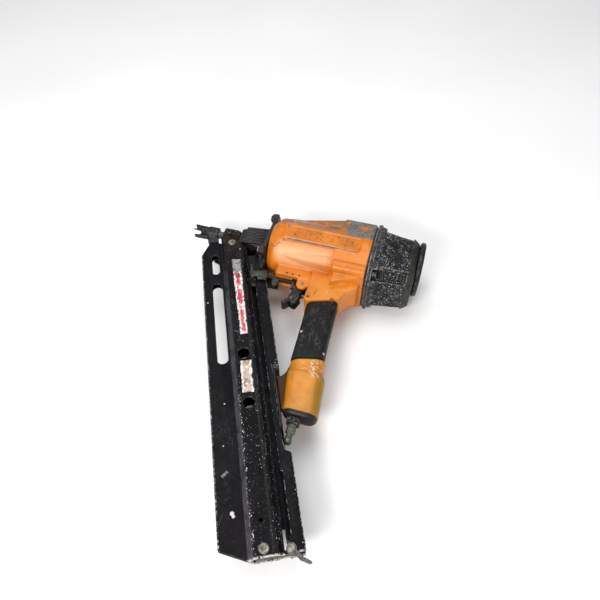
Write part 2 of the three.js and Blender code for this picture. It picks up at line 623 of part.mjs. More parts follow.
// Screw with a dished head that sits on a face at the height given.
function dishedScrew(w, y, face, end) {
  const shank = rod("Z", 2.3, end, face + 1, [w, y, 0], 12);
  const head = turned("Z", [
    [face + GAP, 0], [face + GAP, 5.6], [face + 1.8, 5.6], [face + 2.8, 4.4],
    [face + 2.8, 2.8], [face + 1.6, 0],
  ], [w, y, 0], 16);
  return join(shank, head);
}

add("rear_cover_screw", join(dishedScrew(HOLE_W, REAR_SCREW_Y, HIGH_Z, -13),
  rod("Z", 5, -15.2, -HIGH_Z - GAP, [HOLE_W, REAR_SCREW_Y, 0], 6)), SILVER, magazine);
add("front_cover_screw", dishedScrew(HOLE_W, FRONT_SCREW_Y, HIGH_Z, 10.5), SILVER, magazine);
add("front_cover_screw_right", dishedScrew(HOLE_W, FRONT_SCREW_Y, HIGH_Z, 10.5).scale(1, 1, -1),
  SILVER, magazine);
add("rail_screw", join(
  rod("Z", 2.3, -13, 13.8, [RAIL_SCREW_W, RAIL_SCREW_Y, 0], 12),
  turned("Z", [[13.5, 0], [13.5, 4.2], [14.4, 4.2], [15, 3.4], [15, 0]],
    [RAIL_SCREW_W, RAIL_SCREW_Y, 0], 20),
  rod("Z", 4.8, -14.4, -11.3, [RAIL_SCREW_W, RAIL_SCREW_Y, 0], 6),
), SILVER, magazine);

// Rear catch: a bent lever that swings about the rail screw and clears the loading opening.
add("nail_stop", cut(join(
  pipe("Z", 5.6, 2.7, 11.3, 13.2, [RAIL_SCREW_W, RAIL_SCREW_Y, 0], 20),
  plate(outline([[4.2, -1], [11, -9.5], [18.5, -15], [19.2, -17], [16.4, -18], [8, -13], [1, -5.4]]
    .map(([w, y]) => [RAIL_SCREW_W + w, RAIL_SCREW_Y + y])), 11.3, 13.2, 0.5),
), rod("Z", 2.7, 8, 20, [RAIL_SCREW_W, RAIL_SCREW_Y, 0], 16)), SILVER, magazine);

add("pusher", join(
  block([-129, -93.4], [-50, -28], [-5.6, 5.6]),
  block([-136, -128.5], [-50, -42], [-2.4, 2.4]),
  block([-108, -93.4], [-32, 12], [-2.6, 2.6]),
), DARK_STEEL, magazine);
add("pusher_tab", join(
  block([-103.4, -98.8], [-42, -31], [5.9, 15.4]),
  plate(outline([[-104, -29], [-80, -32], [-79, -34], [-79, -42], [-101.6, -40]]), 14.4, 16),
  plate(outline([[-101.6, -32], [-99, -32], [-99, -18], [-101.6, -18]]), 14.4, 17),
  plate(outline([[-95, -40], [-79.4, -41.5], [-82.5, -49], [-94, -47]]), 14.4, 15.6),
), STEEL, magazine);
const COIL = [-119.5, -14, 0];
add("spring_coil", cut(rod("Z", 10, -4.6, 4.6, COIL, 24), rod("Z", 4.4, -6, 6, COIL, 16)),
  STEEL, magazine);
add("coil_hub", rod("Z", 4, -10, 10, COIL, 16), NYLON, magazine);

add("front_label", plate(outline([[-128.4, 0], [-115.2, -2], [-116.6, -136], [-126.6, -136]]),
  HIGH_Z + GAP, HIGH_Z + 0.7), LABEL, magazine);
add("rear_label", plate(outline([[-130.5, -177], [-116, -178], [-117, -224], [-131.5, -223]]),
  HIGH_Z + GAP, HIGH_Z + 0.7), LABEL, magazine);

// Bracket that ties the rail to the end of the handle, with its roll pin.
const ROLL_PIN = [RAIL_EDGE - 4.3, -190.8, 0];
add("magazine_bracket", cut(join(
  block([RAIL_BACK + GAP, RAIL_BACK + 3.3], [-272, -196], [-8.9, 8.9]),
  block([RAIL_BACK + GAP, RAIL_EDGE], [-196, -186.5], [-8.9, 8.9]),
), rod("Z", 3.1, -14, 14, ROLL_PIN, 12)), DARK_STEEL, magazine);
add("roll_pin", pipe("Z", 2.8, 1.9, -11.2, 11.2, ROLL_PIN, 18), STEEL, magazine);

// ---------------------------------------------------------------- origin under the middle

tool.updateMatrixWorld(true);
const bounds = new THREE.Box3().setFromObject(tool, true);
tool.position.set(
  -(bounds.min.x + bounds.max.x) / 2, -(bounds.min.y + bounds.max.y) / 2, -bounds.min.z);

const root = new THREE.Group();
root.add(tool);
export default root;
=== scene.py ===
"""Looks of the pneumatic stick nailer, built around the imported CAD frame.

Pieces are drawn in the tool's own axes in millimetres: +X from the nose to the cap along the drive
axis, -Y towards the air fitting, +Z up, with the drive axis at y = z = 0. place() carries them into
the frame. Magazine pieces use its own axes: w across, y along (positive to the nose), z up.
"""
import functools
import json
import math

import bpy
import bmesh
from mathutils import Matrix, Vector


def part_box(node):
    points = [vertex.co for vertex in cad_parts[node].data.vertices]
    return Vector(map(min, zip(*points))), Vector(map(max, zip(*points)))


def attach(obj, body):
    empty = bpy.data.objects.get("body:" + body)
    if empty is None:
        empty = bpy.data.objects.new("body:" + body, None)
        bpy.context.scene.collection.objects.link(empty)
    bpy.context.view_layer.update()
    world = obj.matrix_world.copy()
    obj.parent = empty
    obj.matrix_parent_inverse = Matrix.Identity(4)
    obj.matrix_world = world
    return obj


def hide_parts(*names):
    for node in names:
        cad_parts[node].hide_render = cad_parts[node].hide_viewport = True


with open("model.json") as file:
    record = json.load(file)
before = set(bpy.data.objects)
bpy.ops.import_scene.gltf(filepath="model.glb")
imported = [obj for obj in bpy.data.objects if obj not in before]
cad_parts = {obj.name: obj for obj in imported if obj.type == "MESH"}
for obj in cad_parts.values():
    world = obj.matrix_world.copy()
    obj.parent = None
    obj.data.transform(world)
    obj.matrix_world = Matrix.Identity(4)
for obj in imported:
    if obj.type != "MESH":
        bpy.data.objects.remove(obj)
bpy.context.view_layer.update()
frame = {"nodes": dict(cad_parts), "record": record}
NODES = frame["nodes"]

MM = 0.001
LEAN = math.radians(24.7)
SLEEVE_START = -53.7              # front end of the cylinder sleeve along the drive axis
low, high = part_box("cylinder_sleeve")
ORIGIN = Vector((low.x - SLEEVE_START * MM, (low.y + high.y) / 2, (low.z + high.z) / 2))


def place(x, y, z):
    return ORIGIN + Vector((x, y, z)) * MM


def from_magazine(w, y, z):
    """Tool-axis position of a point given in the magazine's axes."""
    return (w * math.cos(LEAN) - y * math.sin(LEAN), w * math.sin(LEAN) + y * math.cos(LEAN), z)


# -------- camera, light and floor

AZIMUTH = math.radians(15.9)
ELEVATION = math.radians(52.4)
DISTANCE = 0.745                  # metres from the target
TARGET = place(0, -90.2, 0)
LENS = 31.2
SENSOR = 36

scene = bpy.context.scene


def add_object(name, data):
    thing = bpy.data.objects.new(name, data)
    scene.collection.objects.link(thing)
    return thing


def aimed(name, data, towards, distance):
    """An object that faces the target from a direction."""
    thing = add_object(name, data)
    thing.location = TARGET + towards * distance
    thing.rotation_euler = (-towards).to_track_quat("-Z", "Y").to_euler()
    return thing


back = Vector((math.sin(AZIMUTH) * math.cos(ELEVATION), -math.cos(AZIMUTH) * math.cos(ELEVATION),
               math.sin(ELEVATION)))
camera_data = bpy.data.cameras.new("camera")
camera_data.lens = LENS
camera_data.sensor_width = SENSOR
camera_data.clip_start = 0.01
scene.camera = aimed("camera", camera_data, back, DISTANCE)


def area_light(name, direction, distance, size, power, colour=(1, 1, 1)):
    """A soft light aimed at the target from a direction; distance and size in metres."""
    data = bpy.data.lights.new(name, "AREA")
    data.shape = "RECTANGLE"
    data.size, data.size_y = size
    data.energy = power
    data.color = colour
    aimed(name, data, Vector(direction).normalized(), distance)


area_light("key", (-0.20, -0.80, 0.62), 1.3, (0.50, 0.26), 11, (1.0, 0.985, 0.96))
area_light("sky", (-0.15, 0.25, 1.0), 1.8, (1.3, 1.3), 17, (0.98, 0.99, 1.0))
area_light("side", (1.0, -0.30, 0.45), 1.7, (0.8, 0.8), 4)

world = bpy.data.worlds.new("studio")
world.use_nodes = True
background = world.node_tree.nodes["Background"]
background.inputs["Color"].default_value = (1, 1, 1, 1)
background.inputs["Strength"].default_value = 0.46
scene.world = world
scene.view_settings.view_transform = "Standard"


# -------- shader building

class Paint:
    """A Principled material with the masks and mixes that the finishes below share."""

    def __init__(self, name, roughness=0.5, metallic=0.0, gloss=0.5):
        self.material = bpy.data.materials.new(name)
        self.material.use_nodes = True
        self.tree = self.material.node_tree
        self.tree.nodes.clear()
        self.surface = self.node("BsdfPrincipled", Roughness=roughness, Metallic=metallic)
        self.put(gloss, self.surface.inputs["Specular IOR Level"])
        self.node("OutputMaterial", self.surface.outputs[0])
        spot = self.node("TexCoord").outputs["Object"]
        shift = self.node("VectorMath", spot, ORIGIN, operation="SUBTRACT")
        self.tool = self.node("VectorMath", shift.outputs[0], operation="SCALE", Scale=1 / MM).outputs[0]

    def node(self, kind, *values, **named):
        """A new shader node. Values go to its first inputs, lower-case names are settings, and other
        names are inputs."""
        node = self.tree.nodes.new("ShaderNode" + kind)
        for name, value in named.items():
            if name.islower():
                setattr(node, name, value)
            else:
                self.put(value, node.inputs[name])
        for socket, value in zip(node.inputs, values):
            self.put(value, socket)
        return node

    def put(self, value, target):
        """Links an output, or sets a number, colour or vector; None changes nothing."""
        if isinstance(value, bpy.types.NodeSocket):
            self.tree.links.new(value, target)
        elif isinstance(value, (int, float)):
            target.default_value = value
        elif value is not None:
            target.default_value = (*value, 1)[:len(target.default_value)]

    def turned(self, angle, stretch=(1, 1, 1)):
        """The tool's axes turned about Z, then stretched: a texture space."""
        turn = self.node("Mapping", self.tool, vector_type="TEXTURE", Rotation=(0, 0, angle))
        return self.node("Mapping", turn.outputs[0], Scale=stretch).outputs[0]

    def noise(self, scale, detail, rough, space=None, seed=0.0):
        return self.node("TexNoise", noise_dimensions="4D", W=seed, Scale=scale, Detail=detail,
                         Roughness=rough, Vector=space or self.tool).outputs["Fac"]

    def band(self, value, start, end, low=0.0, high=1.0):
        """0 to 1 as value passes from start to end, clamped; start may be above end."""
        kind = "SMOOTHSTEP" if start < end else "LINEAR"
        return self.node("MapRange", value, start, end, low, high, interpolation_type=kind).outputs[0]

    def patches(self, scale, detail, rough, seed, start, end, low=0.0, high=1.0):
        """Noise turned into soft-edged patches."""
        return self.band(self.noise(scale, detail, rough, seed=seed), start, end, low, high)

    def math(self, operation, a, b=0.0):
        return self.node("Math", a, b, operation=operation).outputs[0]

    def inverse(self, mask):
        return self.math("SUBTRACT", 1.0, mask)

    def times(self, *values):
        return functools.reduce(functools.partial(self.math, "MULTIPLY"), values)

    def most(self, *values):
        return functools.reduce(functools.partial(self.math, "MAXIMUM"), values)

    def mix(self, factor, a, b):
        node = self.node("Mix", factor, data_type="RGBA")
        self.put(a, node.inputs[6])
        self.put(b, node.inputs[7])
        return node.outputs[2]

    def over(self, base, tint, *masks):
        """A tint laid over a colour where every mask lets it through."""
        return self.mix(self.times(*masks), base, tint)

    def axes(self, space=None):
        return self.node("SeparateXYZ", space or self.tool).outputs

    def magazine_axes(self):
        """w, y and z of the magazine."""
        return self.axes(self.turned(LEAN))

    def within(self, value, start, end, soft=1.0):
        """1 between start and end, fading over soft."""
        return self.times(self.band(value, start - soft / 2, start + soft / 2),
                          self.band(value, end + soft / 2, end - soft / 2))

    def specks(self, scale, size, share, seed=0.0):
        """Small irregular dots: the cells of a Voronoi pattern, of which only a share is kept."""
        wobble = self.node("TexNoise", self.tool, Scale=scale * 1.7, Detail=2).outputs["Color"]
        drift = self.node("VectorMath", wobble, operation="SCALE", Scale=0.9 / scale)
        spot = self.node("VectorMath", self.tool, drift.outputs[0], operation="ADD")
        cells = self.node("TexVoronoi", spot.outputs[0], voronoi_dimensions="4D", W=seed, Scale=scale)
        dot = self.band(cells.outputs["Distance"], size, size * 0.7)
        chance = self.node("SeparateColor", cells.outputs["Color"]).outputs[0]
        return self.times(dot, self.band(chance, 1 - share - 0.01, 1 - share + 0.01))

    def scratches(self, angle, scale=0.5, seed=0.0, amount=0.66):
        """Fine straight marks along one direction in the tool's XY plane."""
        space = self.turned(angle, (0.06, 1.0, 0.35))
        line = self.band(self.noise(scale, 2, 0.5, space, seed), amount, amount + 0.035)
        return self.times(line, self.patches(0.03, 2, 0.5, seed + 3, 0.45, 0.6))

    def edge(self, start, end):
        """1 on convex edges of a finely meshed piece, or in its hollows when end is below start."""
        return self.band(self.node("NewGeometry").outputs["Pointiness"], start, end)

    def splat(self, centre, radius, ragged=0.5):
        """An irregular patch around a point in the tool's axes."""
        away = self.node("VectorMath", self.tool, centre, operation="DISTANCE").outputs["Value"]
        wave = self.math("MULTIPLY", self.noise(1.6 / radius, 4, 0.65, seed=radius), 2 * ragged)
        reach = self.math("MULTIPLY", self.math("ADD", wave, 1 - ragged), radius)
        return self.math("GREATER_THAN", reach, away)

    def streak(self, centre, angle, length, width):
        """A ragged scrape around a point, along a direction in the tool's XY plane."""
        u, v, _ = self.axes(self.turned(angle))
        at_u = centre[0] * math.cos(angle) + centre[1] * math.sin(angle)
        at_v = centre[1] * math.cos(angle) - centre[0] * math.sin(angle)
        across = self.math("ADD", v, self.patches(0.9, 4, 0.7, length, 0.3, 0.7, -width, width))
        return self.times(self.within(u, at_u - length / 2, at_u + length / 2, 0.8),
                          self.within(across, at_v - width / 2, at_v + width / 2, 0.4))

    def finish(self, colour, roughness=None, metallic=None, heights=()):
        """The material with colour, roughness, metal, and bumps given as (height, depth in mm)."""
        normal = None
        for height, depth in heights:
            bump = self.node("Bump", Distance=depth * MM, Strength=1.0, Height=height, Normal=normal)
            normal = bump.outputs[0]
        for name, value in (("Base Color", colour), ("Roughness", roughness), ("Metallic", metallic),
                            ("Normal", normal)):
            self.put(value, self.surface.inputs[name])
        return self.material


# The flat facet at the front of the barrel: its rear end, radius there, slope, and turn about X.
FACET_X = -45
FACET_R = 46.6
FACET_SLOPE = 0.42
FACET_TURN = math.radians(12.5)


def orange_enamel():
    """The casting's orange paint: amber on the handle's end, dirty, scuffed, worn to bare metal; painted
    shade on the far facet, web and flared end's sides, and a painted highlight on the barrel.
    """
    p = Paint("orange_enamel", gloss=0.4)
    x, y, z = p.axes()
    tone = p.patches(0.035, 3, 0.5, 0, 0.35, 0.65)
    orange = p.mix(tone, (0.60, 0.158, 0.004), (0.72, 0.205, 0.008))
    amber = p.mix(tone, (0.50, 0.178, 0.002), (0.66, 0.240, 0.003))
    paint = p.mix(p.band(y, -150, -190), orange, amber)
    deep = p.times(p.band(y, -58, -72), p.band(y, -150, -120))
    paint = p.over(paint, (0.64, 0.215, 0.003), deep, 0.7)
    soot = p.times(p.patches(0.05, 5, 0.7, 4, 0.46, 0.72), 0.45)
    paint = p.mix(soot, paint, (0.34, 0.105, 0.012))

    # painted shade and dirt: the far facet of the barrel, the web, and the right and left sides of the
    # flared end
    # painted shade on the far facet of the barrel, broken up by a dirt pattern
    far_facet_shade_and_dirt = p.times(p.band(y, 9, 16), p.band(y, -60, 0), p.band(x, 90, 60))
    paint = p.mix(p.times(far_facet_shade_and_dirt, p.patches(0.09, 5, 0.65, 7, 0.24, 0.58), 0.85),
                  paint, (0.17, 0.105, 0.055))
    low = p.band(y, -196, -206)
    web = p.times(low, p.band(z, 9.5, 6.5), p.band(x, 34, 24))
    # painted shade on the left side of the flared end, and on its right side broken up by a dirt pattern
    left = p.times(low, p.band(x, 32, 20), 0.6)
    right = p.times(low, p.band(x, 46, 66), p.patches(0.08, 4, 0.6, 26, 0.1, 0.5), 0.9)
    paint = p.mix(p.most(left, right), paint, (0.25, 0.125, 0.004))
    end = p.times(p.band(y, -240, -262), p.patches(0.1, 5, 0.7, 28, 0.4, 0.62), 0.6)
    paint = p.mix(end, paint, (0.30, 0.15, 0.02))
    step = p.times(p.within(p.math("ADD", y, p.math("MULTIPLY", x, 0.11)), -205.6, -204.0, 1.0),
                   p.band(x, 34, 46), p.patches(0.3, 4, 0.7, 30, 0.40, 0.5))
    paint = p.over(paint, (0.10, 0.05, 0.03), step, 0.8)

    # marks: pits, rubbed raised pad, scuffs, and a painted highlight on the barrel with rubbed specks in it
    pits = p.specks(0.42, 0.20, 0.13, seed=2)
    paint = p.over(paint, (0.10, 0.05, 0.02), pits, 0.85)
    on_pad = p.times(p.within(x, -36, 62, 4), p.within(y, -15, 2, 3), p.band(z, 40, 44))
    blot = p.times(on_pad, p.patches(0.26, 6, 0.75, 33, 0.54, 0.58))
    paint = p.over(paint, (0.10, 0.045, 0.012), blot, 0.85)
    scuff = p.most(p.scratches(0.4, seed=1), p.scratches(-0.5, 0.6, seed=5),
                   p.scratches(1.4, seed=8))
    paint = p.over(paint, (0.62, 0.44, 0.28), scuff, 0.55)
    # painted highlight: a light peach band on the barrel where the light glints
    painted_highlight = p.times(p.within(x, -52, 30, 14), p.within(y, -46, -22, 12), p.band(z, 12, 20))
    paint = p.over(paint, (0.95, 0.60, 0.34), painted_highlight, 0.5)
    rub = p.times(painted_highlight, p.patches(0.42, 6, 0.75, 21, 0.55, 0.66))
    paint = p.over(paint, (0.46, 0.36, 0.26), rub, 0.55)
    scrape = p.times(p.within(x, 44, 62, 6), p.within(y, -214, -191, 8),
                     p.patches(0.25, 5, 0.75, 35, 0.53, 0.60))
    paint = p.over(paint, (0.78, 0.60, 0.45), scrape, 0.8)

    # bare metal: worn edges, the corner boss, the pad's rim and the ring around the facet
    off_web = p.inverse(web)
    worn_edge = p.times(off_web, p.edge(0.530, 0.570), p.patches(0.22, 5, 0.7, 9, 0.42, 0.55))
    boss = p.times(p.within(x, 42, 84, 2), p.band(y, 7.5, 9.5), p.band(z, 15, 20))
    patch = p.most(p.splat((64, 30, 45), 7.5, 0.9), p.splat((73, 33, 44), 3.5, 0.9))
    boss = p.times(boss, p.inverse(patch))
    rim_y = p.most(p.within(y, 6.6, 8.2, 0.5), p.within(y, -21.4, -20.2, 0.5))
    pad_rim = p.times(p.within(x, -38, 66, 3), rim_y, p.band(z, 40, 44),
                      p.patches(0.11, 4, 0.6, 12, 0.30, 0.44), 0.8)
    height = p.math("ABSOLUTE", z)
    reach = p.math("SUBTRACT", p.math("MULTIPLY", height, math.cos(FACET_TURN)),
                   p.math("MULTIPLY", y, math.sin(FACET_TURN)))
    plane = p.math("ADD", p.math("MULTIPLY", x, FACET_SLOPE), FACET_R - FACET_SLOPE * FACET_X)
    ring = p.times(p.within(p.math("SUBTRACT", reach, plane), -1.6, -0.5, 0.5),
                   p.within(x, -64, -41, 1.5), p.patches(0.12, 4, 0.6, 14, 0.24, 0.40), 0.7)
    bare = p.most(worn_edge, boss, pad_rim, ring)
    grey = p.mix(p.patches(0.25, 5, 0.7, 6, 0.3, 0.7), (0.115, 0.11, 0.105), (0.25, 0.24, 0.225))
    colour = p.mix(bare, paint, grey)
    cavity = p.edge(0.47, 0.40)
    colour = p.over(colour, (0.055, 0.03, 0.015), cavity, 0.75)
    # painted shadow: the web under the flared end is laid nearly black
    colour = p.over(colour, (0.028, 0.011, 0.003), web, 0.95)
    roughness = p.patches(0.16, 4, 0.6, 11, 0.3, 0.7, 0.30, 0.44)
    roughness = p.most(roughness, p.times(web, 0.8))
    return p.finish(colour, roughness, p.times(bare, 0.4, off_web), [
        (p.noise(0.9, 3, 0.6), 0.05), (p.inverse(p.most(pits, bare)), 0.12)])


# The larger chips on the magazine: place (w, y, z), radius, raggedness.
CHIPS = [(-155.4, -362.0, 4.8, 2.4, 0.9), (-154.3, -365.2, 4.8, 1.9, 0.9), (-159.8, -284.7, 4.8, 0.8, 0.7),
         (-154.9, -231.0, 4.8, 0.9, 0.9), (-167.7, -71, 4.8, 1.0, 0.7), (-114.2, 19.4, 12, 0.9, 0.8)]


def black_coat():
    """Satin black on the magazine: violet-black, peppered with chips, worn at the folds, with a painted
    highlight along the ridge and a painted reflection along the second crease.
    """
    p = Paint("black_coat", gloss=0.10)
    w, y, z = p.magazine_axes()
    cloud = p.patches(0.045, 5, 0.6, 0, 0.35, 0.7)
    base = p.mix(cloud, (0.0016, 0.0013, 0.0020), (0.0062, 0.0048, 0.0082))
    dust = p.times(p.patches(0.11, 6, 0.75, 5, 0.52, 0.72), 0.4)
    base = p.mix(dust, base, (0.020, 0.017, 0.023))
    # painted highlight: a soft grey band along the ridge
    ridge = p.times(p.within(w, -142.4, -136.6, 2.4), p.band(z, 3, 5), p.band(y, 10, -60),
                    p.patches(0.06, 4, 0.6, 8, 0.25, 0.6))
    base = p.over(base, (0.085, 0.080, 0.092), ridge, 0.75)
    # painted reflection: a faint olive strip along the second crease
    fold = p.times(p.within(w, -116.5, -113.5, 1.6), p.band(z, 8, 10), 0.35)
    base = p.mix(fold, base, (0.032, 0.030, 0.024))
    brown = p.times(p.band(y, -4, 22), p.band(z, 8, 10), p.patches(0.08, 4, 0.6, 40, 0.3, 0.6))
    base = p.over(base, (0.030, 0.022, 0.015), brown, 0.6)

    raised = p.times(p.within(w, -136, -105, 4), p.band(z, 6, 9))
    crowd = p.patches(0.025, 3, 0.5, 31, 0.36, 0.60)
    rear = p.band(y, -60, -330)
    dots = p.times(p.specks(0.44, 0.26, 0.22, seed=1), p.most(p.times(raised, crowd), p.times(rear, 0.12)))
    dust_dots = p.times(p.specks(0.80, 0.28, 0.26, seed=6), p.most(raised, 0.2), p.most(crowd, 0.3))
    line = p.times(p.specks(0.52, 0.44, 0.62, seed=3), p.within(w, -137.6, -133.8, 1.2),
                   p.band(y, -185, -262), p.patches(0.05, 3, 0.6, 17, 0.24, 0.36))
    few = p.specks(0.17, 0.10, 0.12, seed=4)
    fin = p.times(p.specks(0.45, 0.30, 0.35, seed=9), p.band(w, -86.5, -84.5))
    rims = p.times(p.most(p.within(w, -173.8, -171.4, 0.6), p.within(w, -83.0, -81.6, 0.6)),
                   p.patches(0.40, 4, 0.7, 15, 0.52, 0.58), p.band(z, 1, 2))
    tail = p.times(p.band(y, -409.6, -411.4), p.band(w, -150, -146),
                   p.patches(0.30, 4, 0.6, 18, 0.42, 0.48))
    chips = p.most(*[p.splat(from_magazine(*spot), radius, ragged) for *spot, radius, ragged in CHIPS])
    scuff = p.times(p.streak(from_magazine(-160.4, -318.0, 4.8), LEAN + 0.72, 8.5, 2.2), 0.45)
    marks = p.most(p.scratches(LEAN + 1.2, 0.45, 2), p.scratches(LEAN - 0.9, 0.5, 7),
                   p.scratches(LEAN + 1.5, 0.7, 11))
    worn = p.most(dots, dust_dots, line, few, fin, rims, tail, chips, scuff)
    colour = p.over(base, (0.10, 0.092, 0.105), marks, 0.35)
    colour = p.over(colour, (0.62, 0.60, 0.57), worn, 0.9)
    roughness = p.patches(0.12, 5, 0.7, 22, 0.3, 0.7, 0.38, 0.56)
    return p.finish(colour, roughness, None, [
        (p.noise(1.1, 3, 0.6), 0.035), (p.inverse(worn), 0.08)])


def chipped_edge():
    """The folded and punched edges of the black sheet, rubbed through in places."""
    p = Paint("chipped_edge", gloss=0.15)
    w, y, z = p.magazine_axes()
    through = p.patches(0.20, 6, 0.75, 3, 0.50, 0.58)
    holes = p.times(p.within(w, -134.5, -115.5, 1), p.within(y, -248, -155, 2), p.band(z, 10, 11.3))
    slots = p.times(p.within(w, -161.5, -144.5, 1), p.most(p.within(y, 4, 20, 2), p.within(y, -52, -36, 2)),
                    p.band(z, 3, 4))
    fin = p.times(p.band(w, -91.6, -90.4), p.within(y, -400, -290, 2), p.band(z, 8, 9))
    through = p.most(through, p.times(p.most(holes, slots, fin),
                                      p.patches(0.25, 4, 0.6, 9, 0.34, 0.42)))
    colour = p.mix(through, (0.004, 0.0034, 0.0045), (0.40, 0.385, 0.38))
    return p.finish(colour, p.band(through, 0, 1, 0.5, 0.42), p.times(through, 0.4))


def cap_coat():
    """The head cap: black cast metal scuffed to grey and white on everything that stands proud."""
    p = Paint("cap_coat", gloss=0.16)
    x = p.axes()[0]
    cloud = p.patches(0.06, 6, 0.7, 0, 0.35, 0.68)
    base = p.mix(cloud, (0.0030, 0.0028, 0.0040), (0.0125, 0.0115, 0.0150))
    dust = p.patches(0.20, 7, 0.8, 4, 0.50, 0.70)
    base = p.over(base, (0.060, 0.058, 0.060), dust, 0.55)
    haze = p.times(p.band(x, 101, 92), p.patches(0.12, 6, 0.7, 19, 0.35, 0.62))
    base = p.over(base, (0.12, 0.117, 0.120), haze, 0.6)
    end_band = p.times(p.band(x, 137, 143), p.band(x, 150.15, 149.8),
                       p.patches(0.07, 4, 0.6, 2, 0.2, 0.6))
    base = p.over(base, (0.048, 0.046, 0.038), end_band, 0.7)
    crumbs = p.most(p.specks(0.60, 0.40, 0.50, seed=2), p.specks(0.34, 0.34, 0.38, seed=9),
                    p.times(p.specks(0.95, 0.40, 0.4, seed=12), 0.6),
                    p.times(p.patches(0.36, 7, 0.85, 29, 0.58, 0.62), 0.8))
    crumbs = p.times(crumbs, p.patches(0.065, 4, 0.65, 13, 0.40, 0.52), p.band(x, 142, 137),
                     p.band(x, 92, 96))
    proud = p.times(p.edge(0.505, 0.545), p.patches(0.30, 6, 0.75, 6, 0.42, 0.54),
                    p.band(x, 143, 139))
    marks = p.most(p.scratches(0.1, 0.55, 4), p.scratches(0.7, 0.5, 9))
    colour = p.over(base, (0.28, 0.27, 0.26), marks, 0.5)
    colour = p.over(colour, (0.50, 0.49, 0.48), proud, 0.8)
    colour = p.over(colour, (0.62, 0.61, 0.61), crumbs, 0.9)
    roughness = p.patches(0.15, 4, 0.6, 14, 0.3, 0.7, 0.40, 0.62)
    return p.finish(colour, roughness, None, [
        (p.noise(0.6, 5, 0.65), 0.16), (p.inverse(crumbs), 0.12)])


def disc_coat():
    """The exhaust deflector: smooth dark metal, a little green with oil."""
    p = Paint("disc_coat", gloss=0.25)
    cloud = p.patches(0.08, 5, 0.65, 0, 0.3, 0.7)
    colour = p.mix(cloud, (0.004, 0.005, 0.005), (0.014, 0.016, 0.014))
    rub = p.times(p.edge(0.53, 0.58), p.patches(0.2, 5, 0.7, 5, 0.48, 0.56))
    colour = p.over(colour, (0.20, 0.20, 0.19), rub, 0.6)
    colour = p.over(colour, (0.12, 0.12, 0.115), p.scratches(1.2, 0.6, 3), 0.5)
    return p.finish(colour, p.band(cloud, 0, 1, 0.35, 0.55), None, [(p.noise(0.7, 4, 0.6), 0.06)])


def rubber(name, dark, light):
    """Grip rubber with scuff arcs, two nicks and a greenish lower end."""
    p = Paint(name, gloss=0.15)
    cloud = p.patches(0.07, 5, 0.65, 0, 0.35, 0.7)
    base = p.mix(cloud, dark, light)
    arcs = p.most(p.scratches(1.0, 0.35, 3), p.scratches(2.2, 0.4, 8), p.scratches(1.7, 0.3, 12))
    smear = p.times(p.patches(0.12, 5, 0.7, 5, 0.55, 0.75), 0.5)
    colour = p.over(base, (0.085, 0.083, 0.080), arcs, 0.6)
    colour = p.mix(smear, colour, (0.040, 0.038, 0.040))
    clouds = p.times(p.patches(0.16, 6, 0.75, 15, 0.50, 0.66), 0.55)
    colour = p.mix(clouds, colour, (0.075, 0.073, 0.074))
    y = p.axes()[1]
    colour = p.over(colour, (0.010, 0.018, 0.017), p.band(y, -178, -184), 0.8)
    nicks = p.most(p.splat((20, -152, 15), 2.2, 0.8), p.splat((57, -177, 14), 2.0, 0.8))
    colour = p.mix(nicks, colour, (0.50, 0.40, 0.36))
    return p.finish(colour, p.band(cloud, 0, 1, 0.55, 0.75), None, [
        (p.noise(1.6, 3, 0.7), 0.10), (p.noise(0.2, 3, 0.5), 0.25)])


def steel(name, dark, light, grime, metallic=0.85, rough=(0.35, 0.6), dirt=0.5, gloss=0.5, wear=0.3):
    """Bare, plated or blackened steel with grime in its corners and rubbed edges."""
    p = Paint(name, metallic=metallic, gloss=gloss)
    cloud = p.patches(0.20, 6, 0.7, 0, 0.32, 0.68)
    colour = p.mix(cloud, dark, light)
    marks = p.most(p.scratches(0.05, 0.7, 2), p.scratches(1.1, 0.8, 6))
    colour = p.over(colour, tuple(min(1, 1.7 * c) for c in light), marks, 0.5)
    soil = p.times(p.patches(0.26, 6, 0.75, 8, 0.42, 0.62), dirt)
    cavity = p.edge(0.49, 0.44)
    soil = p.most(soil, p.times(cavity, 0.8))
    colour = p.mix(soil, colour, grime)
    rubbed = p.times(p.edge(0.53, 0.62), p.patches(0.35, 5, 0.7, 19, 0.46, 0.60), wear)
    colour = p.mix(rubbed, colour, (0.42, 0.41, 0.40))
    shine = p.patches(0.3, 4, 0.6, 4, 0.3, 0.7, *rough)
    return p.finish(colour, shine, p.band(soil, 0, 1, metallic, metallic * 0.4), [
        (p.noise(0.8, 4, 0.65), 0.06)])


def plain(name, base, second, rough=0.5, metallic=0.0):
    """One even colour with a little cloud in it."""
    p = Paint(name, rough, metallic)
    colour = p.mix(p.patches(0.15, 5, 0.6, 0, 0.3, 0.7), base, second)
    return p.finish(colour, p.patches(0.45, 3, 0.6, 0, 0.3, 0.7, rough * 0.85, rough * 1.15),
                    None, [(p.noise(1.0, 3, 0.6), 0.03)])


